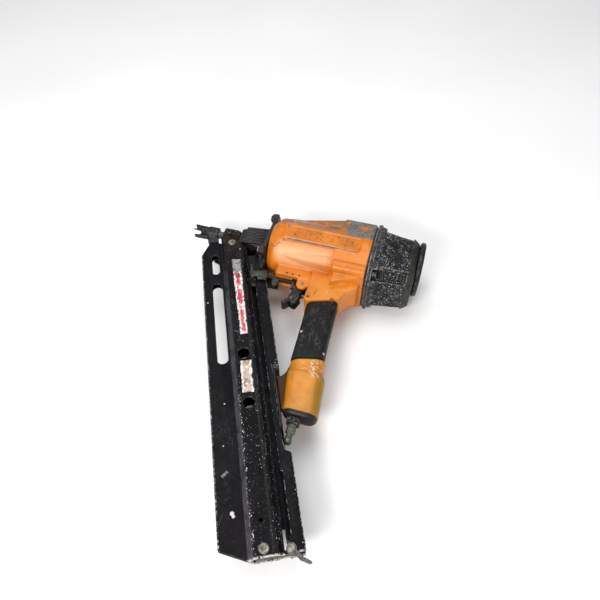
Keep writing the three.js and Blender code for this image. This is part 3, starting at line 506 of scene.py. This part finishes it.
def label_film(name, prints, paper, across, y_range, grey_from=None):
    """A worn blank label: blotches of its old colours, paper, and the black coat through it.

    across gives its edges in w at the front end and at the rear end; past y = grey_from it is bare film.
    """
    p = Paint(name, gloss=0.3)
    w, y, _ = p.magazine_axes()
    front, rear = across
    left, right = (p.band(y, y_range[1], y_range[0], *edges) for edges in zip(front, rear))
    inside = p.math("MINIMUM", p.math("SUBTRACT", w, left), p.math("SUBTRACT", right, w))
    inked = p.times(p.band(p.math("ADD", inside, p.patches(0.25, 5, 0.7, 2, 0.3, 0.7, -2, 2)),
                           2.2, 3.2),
                    p.patches(0.09, 4, 0.6, 7, 0.40, 0.46))
    ink = p.mix(p.patches(0.14, 5, 0.7, 12, 0.45, 0.56), prints[0], prints[1])
    colour = p.mix(inked, paper, ink)
    if grey_from is not None:
        film = p.mix(p.patches(0.35, 5, 0.7, 9, 0.35, 0.65), (0.10, 0.10, 0.10), (0.38, 0.38, 0.39))
        colour = p.mix(p.band(y, grey_from - 3, grey_from + 3), colour, film)
        smudge = p.times(p.within(y, grey_from - 12, grey_from - 3, 3), p.band(inside, 2, 5),
                         p.patches(0.3, 5, 0.7, 13, 0.40, 0.5))
        colour = p.mix(smudge, colour, (0.05, 0.045, 0.05))
    y_in = p.math("MINIMUM", p.math("SUBTRACT", y, y_range[0]), p.math("SUBTRACT", y_range[1], y))
    border = p.math("ADD", p.math("MINIMUM", inside, y_in),
                    p.patches(0.20, 6, 0.8, 5, 0.25, 0.75, -3.2, 3.2))
    flakes = p.patches(0.30, 6, 0.8, 4, 0.62, 0.66)
    gone = p.most(flakes, p.band(border, 0.5, 0.1))
    colour = p.mix(gone, colour, (0.008, 0.007, 0.010))
    grain = p.specks(0.8, 0.2, 0.14, seed=8)
    colour = p.mix(grain, colour, (0.05, 0.04, 0.04))
    return p.finish(colour, 0.55, None, [(p.inverse(gone), 0.10)])


FINISH = {
    "cast_orange": orange_enamel(),
    "black_coat": black_coat(),
    "bright_steel": steel("bright_steel", (0.13, 0.115, 0.09), (0.38, 0.35, 0.30), (0.045, 0.034, 0.022),
                          metallic=0.7, dirt=0.7),
    "worn_steel": steel("worn_steel", (0.045, 0.043, 0.041), (0.17, 0.165, 0.16), (0.02, 0.016, 0.012),
                        metallic=0.6, dirt=0.6),
    "dark_steel": steel("dark_steel", (0.004, 0.0036, 0.0036), (0.020, 0.018, 0.017),
                        (0.024, 0.018, 0.013), metallic=0.3, rough=(0.36, 0.6), dirt=0.5, gloss=0.3),
    "rubber": rubber("rubber_grip_skin", (0.0055, 0.005, 0.006), (0.016, 0.0145, 0.016)),
    "nylon": plain("nylon", (0.62, 0.58, 0.48), (0.72, 0.69, 0.60), 0.5),
    "aluminium": plain("aluminium", (0.50, 0.50, 0.50), (0.64, 0.64, 0.65), 0.35, 1.0),
    "plated_brass": steel("plated_brass", (0.045, 0.050, 0.034), (0.20, 0.21, 0.155), (0.016, 0.017, 0.010),
                          metallic=0.6, dirt=0.6),
    "label": label_film("worn_label", ((0.50, 0.03, 0.05), (0.62, 0.26, 0.26)), (0.78, 0.71, 0.70),
                        ((-128.4, -115.2), (-126.6, -116.6)), (-136, 0), -26),
}
REAR_LABEL = label_film("worn_label_rear", ((0.52, 0.42, 0.36), (0.30, 0.19, 0.15)),
                        (0.78, 0.72, 0.67), ((-130.5, -116), (-131.5, -117)), (-223.5, -177.5))
CAP_COAT = cap_coat()
DISC_COAT = disc_coat()
CHIPPED = chipped_edge()
NOSE_COAT = steel("nose_coat", (0.005, 0.0045, 0.005), (0.040, 0.037, 0.038), (0.020, 0.014, 0.010),
                  metallic=0.4, rough=(0.34, 0.55), dirt=0.4, wear=0.85)
BLACKENED = steel("blackened_steel", (0.004, 0.0036, 0.0036), (0.026, 0.024, 0.023),
                  (0.016, 0.012, 0.009), metallic=0.5, rough=(0.32, 0.5), dirt=0.4, wear=0.25)
WORN_WIRE = steel("worn_wire", (0.008, 0.010, 0.008), (0.045, 0.050, 0.040), (0.012, 0.011, 0.009),
                  metallic=0.5, dirt=0.5, wear=0.4)
GASKET = plain("gasket_edge", (0.010, 0.010, 0.011), (0.03, 0.028, 0.026), 0.7)

for part in frame["record"]["subparts"]:
    mesh = NODES[part["node"]].data
    mesh.materials.clear()
    mesh.materials.append(FINISH[part["material_slot"]])


# -------- mesh building

CORE = 0.1                        # radius of the small rings that close a turned form at its axis


class Shape:
    """Closed forms collected in tool millimetres; they may overlap where they are remeshed."""

    def __init__(self):
        self.verts = []
        self.faces = []

    def rings(self, rings, closed=False):
        """Rings of equal length joined one after another, capped at both ends unless closed."""
        count = len(rings[0])
        total = count * len(rings)
        faces = []
        for k in range(len(rings) if closed else len(rings) - 1):
            a, b = k * count, (k + 1) * count % total
            faces += [(a + i, a + (i + 1) % count, b + (i + 1) % count, b + i) for i in range(count)]
        if not closed:
            faces.append(tuple(reversed(range(count))))
            faces.append(tuple(range(total - count, total)))
        start = len(self.verts)
        self.verts += [point for ring in rings for point in ring]
        self.faces += [tuple(start + i for i in face) for face in faces]
        return self

    def turned(self, axis, profile, at=(0, 0, 0), count=48, closed=False):
        """Turned about X, Y or Z; the profile lists (position, radius)."""
        rings = []
        for s, radius in profile:
            ring = []
            for i in range(count):
                angle = 2 * math.pi * i / count
                u, v = radius * math.cos(angle), radius * math.sin(angle)
                local = {"X": (s, u, v), "Y": (v, s, u), "Z": (u, v, s)}[axis]
                ring.append(tuple(a + b for a, b in zip(local, at)))
            rings.append(ring)
        return self.rings(rings, closed)

    def rod(self, axis, radius, ends, at=(0, 0, 0), count=24):
        """A cylinder between two positions along X, Y or Z."""
        first, last = ends
        profile = [(first, CORE), (first, radius), (last, radius), (last, CORE)]
        return self.turned(axis, profile, at, count)

    def along_x(self, section, stations):
        """A YZ section at stations (x, scale) or (x, scale y, scale z, move y, move z)."""
        rings = []
        for x, sy, *others in stations:
            sz, my, mz = others or (sy, 0, 0)
            rings.append([(x, my + y * sy, mz + z * sz) for y, z in section])
        return self.rings(rings)

    def down_y(self, section, stations):
        """An XZ section at stations (y, scale x, scale z, middle x)."""
        return self.rings([[(mx + x * sx, y, z * sz) for x, z in section]
                           for y, sx, sz, mx in stations])

    def slab(self, outline, z0, z1):
        """A plate in XY between two heights."""
        return self.rings([[(x, y, z) for x, y in outline] for z in (z0, z1)])

    def block(self, x, y, z):
        corners = [(x[0], y[0]), (x[1], y[0]), (x[1], y[1]), (x[0], y[1])]
        return self.slab(corners, *z)

    def tube(self, path, radius, count=12):
        """A round bar along a path of points."""
        points = [Vector(p) for p in path]
        rings = []
        side = (points[1] - points[0]).normalized().orthogonal().normalized()
        for i, point in enumerate(points):
            ahead = (points[min(i + 1, len(points) - 1)] - points[max(i - 1, 0)]).normalized()
            side = (side - side.dot(ahead) * ahead).normalized()
            other = ahead.cross(side)
            rings.append([tuple(point + radius * (math.cos(t) * side + math.sin(t) * other))
                          for t in (2 * math.pi * k / count for k in range(count))])
        return self.rings(rings)

    def object(self, name, material=None):
        """The collected forms as a Blender object in the frame."""
        mesh = bpy.data.meshes.new(name)
        mesh.from_pydata([place(*v) for v in self.verts], [], self.faces)
        mesh.update()
        body = bmesh.new()
        body.from_mesh(mesh)
        bmesh.ops.recalc_face_normals(body, faces=body.faces)
        body.to_mesh(mesh)
        body.free()
        thing = add_object(name, mesh)
        if material is not None:
            mesh.materials.append(material)
        return thing


def inset(outline, distance):
    """The outline moved inwards by a distance, corner by corner."""
    area = sum(a[0] * b[1] - b[0] * a[1] for a, b in zip(outline, outline[1:] + outline[:1]))
    turn = 1 if area > 0 else -1
    result = []
    for i, here in enumerate(outline):
        before, after = Vector(outline[i - 1]), Vector(outline[(i + 1) % len(outline)])
        here = Vector(here)
        d1, d2 = (here - before).normalized(), (after - here).normalized()
        n1, n2 = Vector((-d1.y, d1.x)) * turn, Vector((-d2.y, d2.x)) * turn
        middle = (n1 + n2).normalized()
        result.append(tuple(here + middle * distance / max(0.4, middle.dot(n1))))
    return result


def rounded(outline, radius, steps=4):
    """The outline with its corners rounded; radius is one number or one for each corner."""
    radii = radius if isinstance(radius, (list, tuple)) else [radius] * len(outline)
    result = []
    for i, here in enumerate(outline):
        here, before = Vector(here), Vector(outline[i - 1])
        after = Vector(outline[(i + 1) % len(outline)])
        d1, d2 = (before - here), (after - here)
        reach = min(radii[i], 0.48 * d1.length, 0.48 * d2.length)
        a, b = here + d1.normalized() * reach, here + d2.normalized() * reach
        for k in range(steps + 1):
            t = k / steps
            result.append(tuple((1 - t) ** 2 * a + 2 * t * (1 - t) * here + t ** 2 * b))
    return result


def rectangle(half_x, half_y, corner, steps=5):
    """A rectangle's outline with round corners."""
    result = []
    for sx, sy, start in ((1, 1, 0), (-1, 1, 90), (-1, -1, 180), (1, -1, 270)):
        for k in range(steps + 1):
            angle = math.radians(start + 90 * k / steps)
            result.append((sx * (half_x - corner) + corner * math.cos(angle),
                           sy * (half_y - corner) + corner * math.sin(angle)))
    return result


def modify(thing, kind, **settings):
    """Adds a modifier with some settings."""
    modifier = thing.modifiers.new(kind.lower(), kind)
    for name, value in settings.items():
        setattr(modifier, name, value)


def settle(thing):
    """Turns the modifiers of an object into its mesh."""
    graph = bpy.context.evaluated_depsgraph_get()
    mesh = bpy.data.meshes.new_from_object(thing.evaluated_get(graph))
    thing.modifiers.clear()
    thing.data = mesh
    return thing


def cast(thing, voxel, smooth, ratio):
    """One skin over overlapping forms, softened like a casting and thinned to a share of its faces."""
    modify(thing, "REMESH", mode="VOXEL", voxel_size=voxel * MM)
    modify(thing, "SMOOTH", factor=0.5, iterations=smooth)
    modify(thing, "DECIMATE", ratio=ratio)
    return settle(thing)


def carve(thing, cutter):
    """Takes the cutter's forms out of an object."""
    tool = cutter.object("cutter")
    modify(thing, "BOOLEAN", operation="DIFFERENCE", solver="MANIFOLD", object=tool)
    settle(thing)
    bpy.data.objects.remove(tool)


def crisp(thing, angle=35):
    """Smooth shading, sharp where faces meet at more than the angle."""
    thing.data.shade_smooth()
    thing.data.set_sharp_from_angle(angle=math.radians(angle))
    return thing


def chamfer(thing, width, material_index):
    """Rounds the sharp edges and gives the new faces a material of the object."""
    modify(thing, "BEVEL", width=width * MM, segments=2, limit_method="ANGLE",
           angle_limit=math.radians(28), material=material_index, harden_normals=False)
    return settle(thing)


def join(things):
    """Makes one object of several, named like the first."""
    bpy.ops.object.select_all(action="DESELECT")
    for thing in things:
        thing.select_set(True)
    bpy.context.view_layer.objects.active = things[0]
    bpy.ops.object.join()


def show(thing, slot, body, *nodes):
    """Attaches a finished piece to its body, and hides the CAD nodes that it stands for; slot is not used.
    """
    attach(thing, body)
    if nodes:
        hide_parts(*nodes)


def edged_copy(node, slot, body, width, finish=None, edge_material=None):
    """A CAD node's own form with rounded edges."""
    source = NODES[node]
    form = bmesh.new()
    form.from_mesh(source.data)
    bmesh.ops.remove_doubles(form, verts=form.verts, dist=2e-6)
    bmesh.ops.dissolve_limit(form, angle_limit=math.radians(0.6), verts=form.verts, edges=form.edges)
    mesh = bpy.data.meshes.new(node + "_skin")
    form.to_mesh(mesh)
    form.free()
    thing = add_object(node + "_skin", mesh)
    mesh.materials.clear()
    mesh.materials.append(finish or FINISH[slot])
    if edge_material is not None:
        mesh.materials.append(edge_material)
    for polygon in mesh.polygons:
        polygon.material_index = 0
    chamfer(thing, width, len(mesh.materials) - 1)
    show(crisp(thing), slot, body, node)


# -------- body casting

HEAD = rounded([(52, 27), (48, 37.5), (21, 46.8), (-21, 46.8), (-48, 37.5), (-52, 27),
                (-52, -27), (-48, -37.5), (-21, -46.8), (21, -46.8), (48, -37.5), (52, -27)],
               [7, 5, 10, 10, 5, 7, 7, 5, 10, 10, 5, 7], 3)
CORNERS = [(1, 1), (-1, 1), (-1, -1), (1, -1)]
SCREW = (43, 33)                  # cap screws and nose bolts, measured from the drive axis in y and z
BOLT = (34, 25)
SCREW_SPOTS = [(0, sy * SCREW[0], sz * SCREW[1]) for sy, sz in CORNERS]
BOLT_SPOTS = [(0, sy * BOLT[0], sz * BOLT[1]) for sy, sz in CORNERS]
PIVOT = (-3, -70, 0)              # trigger pin
VALVE_PIN = (12.8, -94.8, 0)
NECK_HALF = 19
PAD_TOP = 48.2
FLARE = rectangle(24, 16, 13, 8)
HANDLE_END = -262


def handle_x(y):
    """Middle of the handle, which leans a little."""
    return 34.8 - 0.045 * (y + 98)


def grip_top(x):
    """The slanted line where the sleeve meets the neck."""
    return -98 + 0.33 * (x - 28)


def grip_bottom(x):
    """The slanted line where the sleeve meets the flared end."""
    return -189.5 + 0.25 * (x - 39)


def body_skin():
    """The orange casting as one skin, then cut for nose, trigger, pins and the flat front facets."""
    s = Shape()
    s.turned("X", [(-68, CORE), (-68, 37), (-67, 38.2), (-58.5, 45.8), (-56, 46.3), (28, 47.2),
                   (33, 48), (78, 48), (78, CORE)], count=96)
    s.along_x(HEAD, [(31.5, 0.955), (35, 0.985), (40, 1), (82, 1)])
    for sy, sz in CORNERS:
        boss_at = (0, sy * SCREW[0] * 0.96, sz * SCREW[1] * 0.96)
        s.turned("X", [(34, CORE), (34, 10), (37, 11), (82, 11), (82, CORE)], boss_at, 24)
        s.along_x(rectangle(10.5, 10.5, 7), [(-54, 0.5, 0.5, sy * 31, sz * 23),
                                            (40, 1, 1, sy * 40, sz * 30)])
    # flat side above the drive axis, and the raised pad on the left face
    s.rings([[(x, y, z) for y, z in ((-24, 30), (-21, 47.6), (7, 48.1), (reach, 31), (reach + 1, 10),
                                     (0, 5))] for x, reach in ((-50, 36), (42, 44))])
    s.slab(rounded([(-40, -20), (66, -20), (66, 7), (-40, 7)], 4), 40, PAD_TOP)
    rim = rounded([(-41, -21), (67, -21), (67, 8), (-41, 8)], 5)
    inside = inset(rim, 2.4)
    rim_top = PAD_TOP + 0.8
    s.rings([[(x, y, z) for x, y in ring] for ring, z in
             ((rim, 45), (rim, rim_top), (inside, rim_top), (inside, 45))], closed=True)
    # bare boss at the rear corner of each face, beside the pad
    for side in (1, -1):
        s.rings([[(x, y, side * z) for y, z in ((7.5, 30), (8.2, 46.6), (9.4, 47.6), (22, 47.2), (44, 41.4),
                                                (46, 40), (46, 28))] for x in (43, 79)])
    # trigger housing, neck and ears
    s.slab(rounded([(-46, -61.5), (4, -61.5), (4, -30), (-46, -30)], 2), -14, 14)
    neck_end = [(15, grip_top(15) + 0.7), (57, grip_top(57) + 0.7)]
    s.slab(rounded([(2, -30), (8, -58), (8, -76), (7.4, -92), (8.6, -99.6), (12.2, -102.4), *neck_end,
                    (58, -83), (64, -72), (76, -64), (80, -30)],
                   [2, 8, 2, 5, 5, 2, 1, 1, 6, 8, 12, 2]), -NECK_HALF, NECK_HALF)
    s.rod("Z", 6.6, (-NECK_HALF, NECK_HALF), (14, -95.8, 0), 32)
    s.rings([[(x, y, z) for x, y in ((36, -70), (76, -52), (78, -30), (40, -30))]
             for z in (-30, -24, 24, 30)])
    for z0, z1 in ((8.4, 13), (-13, -8.4)):
        s.slab(rounded([(-12, -52), (-11, -74), (-6, -79), (1, -79), (9, -70), (9, -52)], 2.5), z0, z1)
    # handle core, flared end and the web that carries the magazine
    s.down_y(rectangle(15.5, 13, 8), [(-196, 1, 1, handle_x(-196)), (-90, 1, 1, handle_x(-90))])
    collar = [(39.4 + x * 0.93, grip_bottom(39.4 + x * 0.93) - 0.5, z * 0.97) for x, z in FLARE]
    flare = [[(mx + x * sx, y, z * sz) for x, z in FLARE] for y, sx, sz, mx in [
        (HANDLE_END, 0.94, 0.90, 48.8), (-250, 0.965, 0.95, 47.6), (-238, 1, 1, 45.9),
        (-216, 1.04, 1.035, 42.8), (-210.8, 1.045, 1.035, 42.2), (-208.2, 0.99, 0.99, 41.8),
        (-200, 0.955, 0.985, 40.3)]]
    s.rings([*flare, collar])
    s.slab([(24, -199), (17, -203), (15.6, -211), (12.5, -216.5), (6.7, -221), (9, -227),
            (24.3, HANDLE_END), (36, HANDLE_END), (36, -199)], -5.6, 5.6)
    thing = cast(s.object("body_casting_skin", FINISH["cast_orange"]), 0.95, 5, 0.45)
    cuts = Shape()
    cuts.rod("X", 30, (-80, -58), count=48)
    cuts.block((-20, 7), (-90, -55.5), (-8.4, 8.4))
    cuts.rod("Z", 2.4, (-30, 30), PIVOT, 20)
    cuts.rod("Z", 2.5, (16, 30), VALVE_PIN)
    for x in (-29, -20, -10.5):
        cuts.rod("Z", 1.7, (9, 20), (x, -57.6, 0), 16)
    cuts.slab([(19.6, -90.5), (20.6, -90.5), (21.2, -82), (20.4, -82)], 17.6, 25)
    cuts.rod("Z", 3.2, (14, 30), (46.5, -91.5, 0))
    cos, sin = math.cos(FACET_TURN), math.sin(FACET_TURN)
    above_facet = [(FACET_X, FACET_R), (-71, FACET_R + FACET_SLOPE * (-71 - FACET_X)), (-80, 36),
                   (-80, 60), (FACET_X, 60)]
    for side in (1, -1):
        cuts.rings([[(x, v * cos - u * sin, side * (u * cos + v * sin)) for x, u in above_facet]
                    for v in (-45, 45)])
    carve(thing, cuts)
    show(crisp(thing, 50), "cast_orange", "tool_body", "body_casting")


body_skin()


# -------- grip, end cap and air plug

def grip():
    """Rubber sleeve: a rounded section along the leaning handle, waisted, with slanted ends."""
    steps = 24
    rings = []
    for k in range(-1, steps + 2):
        t = min(max(k / steps, 0), 1)
        at_end = k in (-1, steps + 1)
        shrink = 0.955 if at_end else 1 - 0.022 * math.sin(math.pi * t)
        middle = handle_x(-98 - 91 * (1 - t)) - 1
        ring = []
        for x, z in rectangle(21, 17.5, 9, 8):
            at_x = middle + x * shrink
            low, high = grip_bottom(at_x), grip_top(at_x)
            ring.append((at_x, low + (high - low) * min(max(t, 0.004), 0.996),
                         z * (shrink if at_end else 1)))
        rings.append(ring)
    s = Shape().rings(rings)
    thing = s.object("rubber_grip_skin", FINISH["rubber"])
    modify(thing, "SUBSURF", levels=2, render_levels=2)
    settle(thing)
    show(crisp(thing, 60), "rubber", "tool_body", "rubber_grip")


grip()


def end_cap():
    """The dark cap that closes the handle."""
    s = Shape()
    s.down_y(rectangle(21.6, 13.6, 11.5, 10), [(HANDLE_END - depth, sx, sz, 49) for depth, sx, sz in [
        (6, 0.78, 0.76), (5.4, 0.86, 0.85), (3, 0.975, 0.97), (1.4, 1, 1), (0.3, 0.99, 0.99)]])
    thing = s.object("end_cap_skin", FINISH["dark_steel"])
    show(crisp(thing, 40), "dark_steel", "tool_body", "end_cap")


end_cap()


def air_plug():
    """Hexagon and nipple of the air fitting, each turned about the line x = plug."""
    plug = 43.5
    seat = HANDLE_END - 6.3
    s = Shape()
    s.turned("Y", [(seat - 8.5, CORE), (seat - 8.5, 8.2), (seat - 7.9, 9.4), (seat - 0.9, 9.4),
                   (seat, 8.6), (seat, CORE)], (plug, 0, 0), 6)
    # painted shade: the hexagon is plated like the nipple but gets the dark steel finish for the magazine's
    # shadow over it
    thing = s.object("air_fitting_hexagon", FINISH["dark_steel"])
    show(crisp(thing, 25), "plated_brass", "tool_body", "air_fitting")
    s = Shape()
    s.turned("Y", [(seat - 32.5, CORE), (seat - 32.5, 4.2), (seat - 31.9, 4.6), (seat - 30.3, 5.4),
                   (seat - 27.1, 5.4), (seat - 25.5, 4.1), (seat - 20.7, 4.1), (seat - 19, 6),
                   (seat - 10.2, 6), (seat - 9.4, 5.2), (seat - 8.2, 5.2), (seat - 8.2, CORE)],
             (plug, 0, 0), 40)
    thing = s.object("air_fitting_nipple", FINISH["plated_brass"])
    show(crisp(thing, 25), "plated_brass", "tool_body", "air_fitting")


air_plug()


# -------- head cap, gasket, screws, deflector

WELL_R = 8.5                      # half width of the wells that the cap screws stand in


def cap_skin():
    """The head cap: a tapering shell with ribbed screw wells at its corners."""
    s = Shape()
    s.along_x(HEAD, [(84.4, 1.028), (90.2, 1.028), (90.9, 0.995), (141, 0.885), (149, 0.79),
                     (150, 0.755)])
    thing = s.object("head_cap_skin", CAP_COAT)
    ribs = Shape()
    for sy, sz in CORNERS:
        ribs.turned("X", [(85, CORE), (85, 13), (97, 12.4), (97.6, 11.6), (97.6, CORE)],
                    (0, sy * (SCREW[0] - 2), sz * (SCREW[1] - 2)), 32)
        away = Vector((0, sy * SCREW[0], sz * SCREW[1])).normalized()
        side = Vector((0, -away.z, away.y))
        for turn in (-1, 1):
            start = Vector((92, 0, 0)) + away * 52.5 + side * turn * 11
            end = Vector((140, 0, 0)) + away * 45.5 + side * turn * 10.2
            ribs.tube([start + (end - start) * t / 8 for t in range(9)], 3.0)
    bar = rounded([(109, -6), (117, -6), (117, 24), (109, 24)], 3.9, 5)
    ribs.slab(bar, 38, 42.6)
    ribs.slab(bar, -42.6, -38)
    both = ribs.object("ribs", CAP_COAT)
    join([thing, both])
    cast(thing, 0.9, 4, 0.5)
    cuts = Shape()
    for sy, sz in CORNERS:
        angle = math.atan2(sz * SCREW[1], sy * SCREW[0])
        section = [(0, -WELL_R), (24, -WELL_R), (24, WELL_R), (0, WELL_R)]
        section += [(WELL_R * math.cos(t), WELL_R * math.sin(t)) for t in
                    (math.pi / 2 + math.pi * k / 14 for k in range(1, 14))]
        turned = [(sy * SCREW[0] + y * math.cos(angle) - z * math.sin(angle),
                   sz * SCREW[1] + y * math.sin(angle) + z * math.cos(angle)) for y, z in section]
        cuts.rings([[(x, y, z) for y, z in turned] for x in (91, 139.5)])
    carve(thing, cuts)
    show(crisp(thing, 50), "black_coat", "tool_body", "head_cap")


cap_skin()


def gasket():
    """The thin dark edge between casting and cap."""
    s = Shape()
    s.along_x(HEAD, [(82.2, 0.995), (82.5, 1.008), (83.9, 1.008), (84.2, 0.995)])
    show(crisp(s.object("cap_gasket_skin", GASKET)), "rubber", "tool_body", "cap_gasket")


gasket()


def socket_screw(name, at, seat, height, radius, socket, material, direction):
    """A screw's head along X with a hexagon socket, standing on its seat."""
    s = Shape()
    top = seat + direction * height
    rim = direction * 0.6
    s.turned("X", [(seat, CORE), (seat, radius), (top - rim, radius), (top, radius - 0.6), (top, CORE)],
             at, 28)
    thing = s.object(name, material)
    cut = Shape()
    cut.rod("X", socket, sorted([top - direction * min(3.0, height * 0.6), top + direction]), at, 6)
    carve(thing, cut)
    return crisp(thing, 30)


for i, at in enumerate(SCREW_SPOTS):
    screw = socket_screw(f"cap_screw_skin_{i + 1}", at, 91.3, 6.7, 6, 2.8, BLACKENED, 1)
    show(screw, "bright_steel", "tool_body", f"cap_screw_{i + 1}")


def deflector():
    """The disc over the exhaust, off centre, with a groove around its middle."""
    off = 7
    s = Shape()
    s.along_x(rectangle(38.5, 38.5, 34, 14), [(x, scale, scale, off, off) for x, scale in [
        (150.3, 0.92), (151.4, 0.985), (152.4, 1), (155.4, 1), (156.8, 0.985), (157.9, 0.96),
        (158.3, 0.93)]])
    thing = s.object("exhaust_deflector_skin", DISC_COAT)
    cut = Shape()
    cut.turned("X", [(156.6, CORE), (156.6, 8), (160, 9.5), (160, CORE)], count=40)
    ring = [(157.5, 28), (159.5, 28), (159.5, 30), (157.5, 30)]
    cut.turned("X", ring, (0, off / 2, off / 2), 64, closed=True)
    carve(thing, cut)
    show(crisp(thing, 35), "black_coat", "exhaust_deflector", "exhaust_deflector")


deflector()


def deflector_screw():
    """Its slotted screw on the drive axis."""
    s = Shape()
    s.turned("X", [(156.9, CORE), (156.9, 7), (158.2, 7), (159.0, 5.8), (159.3, 3), (159.3, CORE)],
             count=36)
    thing = s.object("deflector_screw_skin", FINISH["bright_steel"])
    cut = Shape()
    cut.block((158.2, 161), (-8, 8), (-0.7, 0.7))
    carve(thing, cut)
    show(crisp(thing, 30), "bright_steel", "tool_body", "deflector_screw")


deflector_screw()


# -------- nose casting and bolts

def nose_skin():
    """The dark ribbed casting between barrel and driver guide, with its plate, lug and shelf."""
    s = Shape()
    s.along_x(rectangle(41, 33, 12, 6), [(-74.5, 0.95), (-73.4, 1), (-68.4, 1)])
    s.along_x(rectangle(20, 15, 5, 4), [(-122, 0.72), (-112, 0.86), (-84, 1), (-76, 1.2),
                                        (-70, 1.45)])
    for side in (1, -1):
        for y in (-15, -9, -3, 3, 9, 15):
            s.rings([[(x, y + t, z) for x, z in ((-117, 0), (-71, 0), (-71, side * 25),
                                                 (-80, side * 19), (-115, side * 14.2))]
                     for t in (-1.3, 1.3)])
    for at in BOLT_SPOTS:
        s.turned("X", [(-79, CORE), (-79, 7.5), (-70, 8.5), (-70, CORE)], at, 24)
    s.slab([(-83.6, -28), (-73.3, -52), (-68.3, -56), (-68.3, -28)], -9.8, 9.8)
    s.slab([(-95.6, -12.4), (-82, -12.4), (-68.3, -28.2), (-68.3, -55.8), (-87.6, -45.8)], -14.8, -12.8)
    thing = cast(s.object("nose_casting_skin", NOSE_COAT), 0.8, 4, 0.5)
    cuts = Shape()
    cuts.block((-140, -84), (-34, 0), (-5.6, 5.6))
    cuts.block((-140, -94), (-40, -13.4), (-12.5, 12.5))
    cuts.rod("X", 4.4, (-140, -60))
    for at in BOLT_SPOTS:
        cuts.rod("X", 6, (-90, -74.6), at)
    carve(thing, cuts)
    show(crisp(thing, 50), "dark_steel", "tool_body", "nose_casting")


nose_skin()

for i, at in enumerate(BOLT_SPOTS):
    slot = "dark_steel" if i == 0 else "bright_steel"
    bolt = socket_screw(f"nose_bolt_skin_{i + 1}", at, -74.8, 6.2, 5.2, 2.6, FINISH[slot], -1)
    show(bolt, slot, "tool_body", f"nose_bolt_{i + 1}")


# -------- carried-over forms, edges rounded

for node, slot, body, width, finish in [
        ("trigger", "dark_steel", "trigger", 0.5, BLACKENED),
        ("trip_lever", "worn_steel", "trip_lever", 0.35, None),
        ("driver_guide", "dark_steel", "tool_body", 0.4, None),
        ("driver_barrel", "dark_steel", "tool_body", 0.3, FINISH["worn_steel"]),
        ("work_contact", "worn_steel", "work_contact", 0.4, BLACKENED),
        ("magazine_bracket", "dark_steel", "tool_body", 0.5, None),
        ("rear_block", "dark_steel", "tool_body", 0.4, None),
        ("pusher", "dark_steel", "pusher", 0.4, None),
        ("pusher_tab", "worn_steel", "pusher", 0.4, WORN_WIRE),
        ("nail_stop", "bright_steel", "nail_stop", 0.4, FINISH["worn_steel"])]:
    edged_copy(node, slot, body, width, finish)

for node in ("magazine_left_cover", "magazine_right_cover", "head_rail"):
    edged_copy(node, "black_coat", "tool_body", 0.45, edge_material=CHIPPED)

label_materials = NODES["rear_label"].data.materials
label_materials.clear()
label_materials.append(REAR_LABEL)


# -------- floor

HALF_FLOOR = 6.0
FLOOR_DROP = 0.0005
floor_mesh = bpy.data.meshes.new("floor")
floor_corners = [(x * HALF_FLOOR, y * HALF_FLOOR, 0) for x, y in ((-1, -1), (1, -1), (1, 1), (-1, 1))]
floor_mesh.from_pydata(floor_corners, [], [(0, 1, 2, 3)])
floor = add_object("floor", floor_mesh)
floor.location.z = -FLOOR_DROP
floor_paint = Paint("floor", 0.9)
grain = floor_paint.patches(0.004, 2, 0.5, 0, 0.3, 0.7)
floor_mesh.materials.append(floor_paint.finish(
    floor_paint.mix(grain, (0.94, 0.94, 0.94), (0.97, 0.97, 0.97))))

bpy.context.view_layer.update()
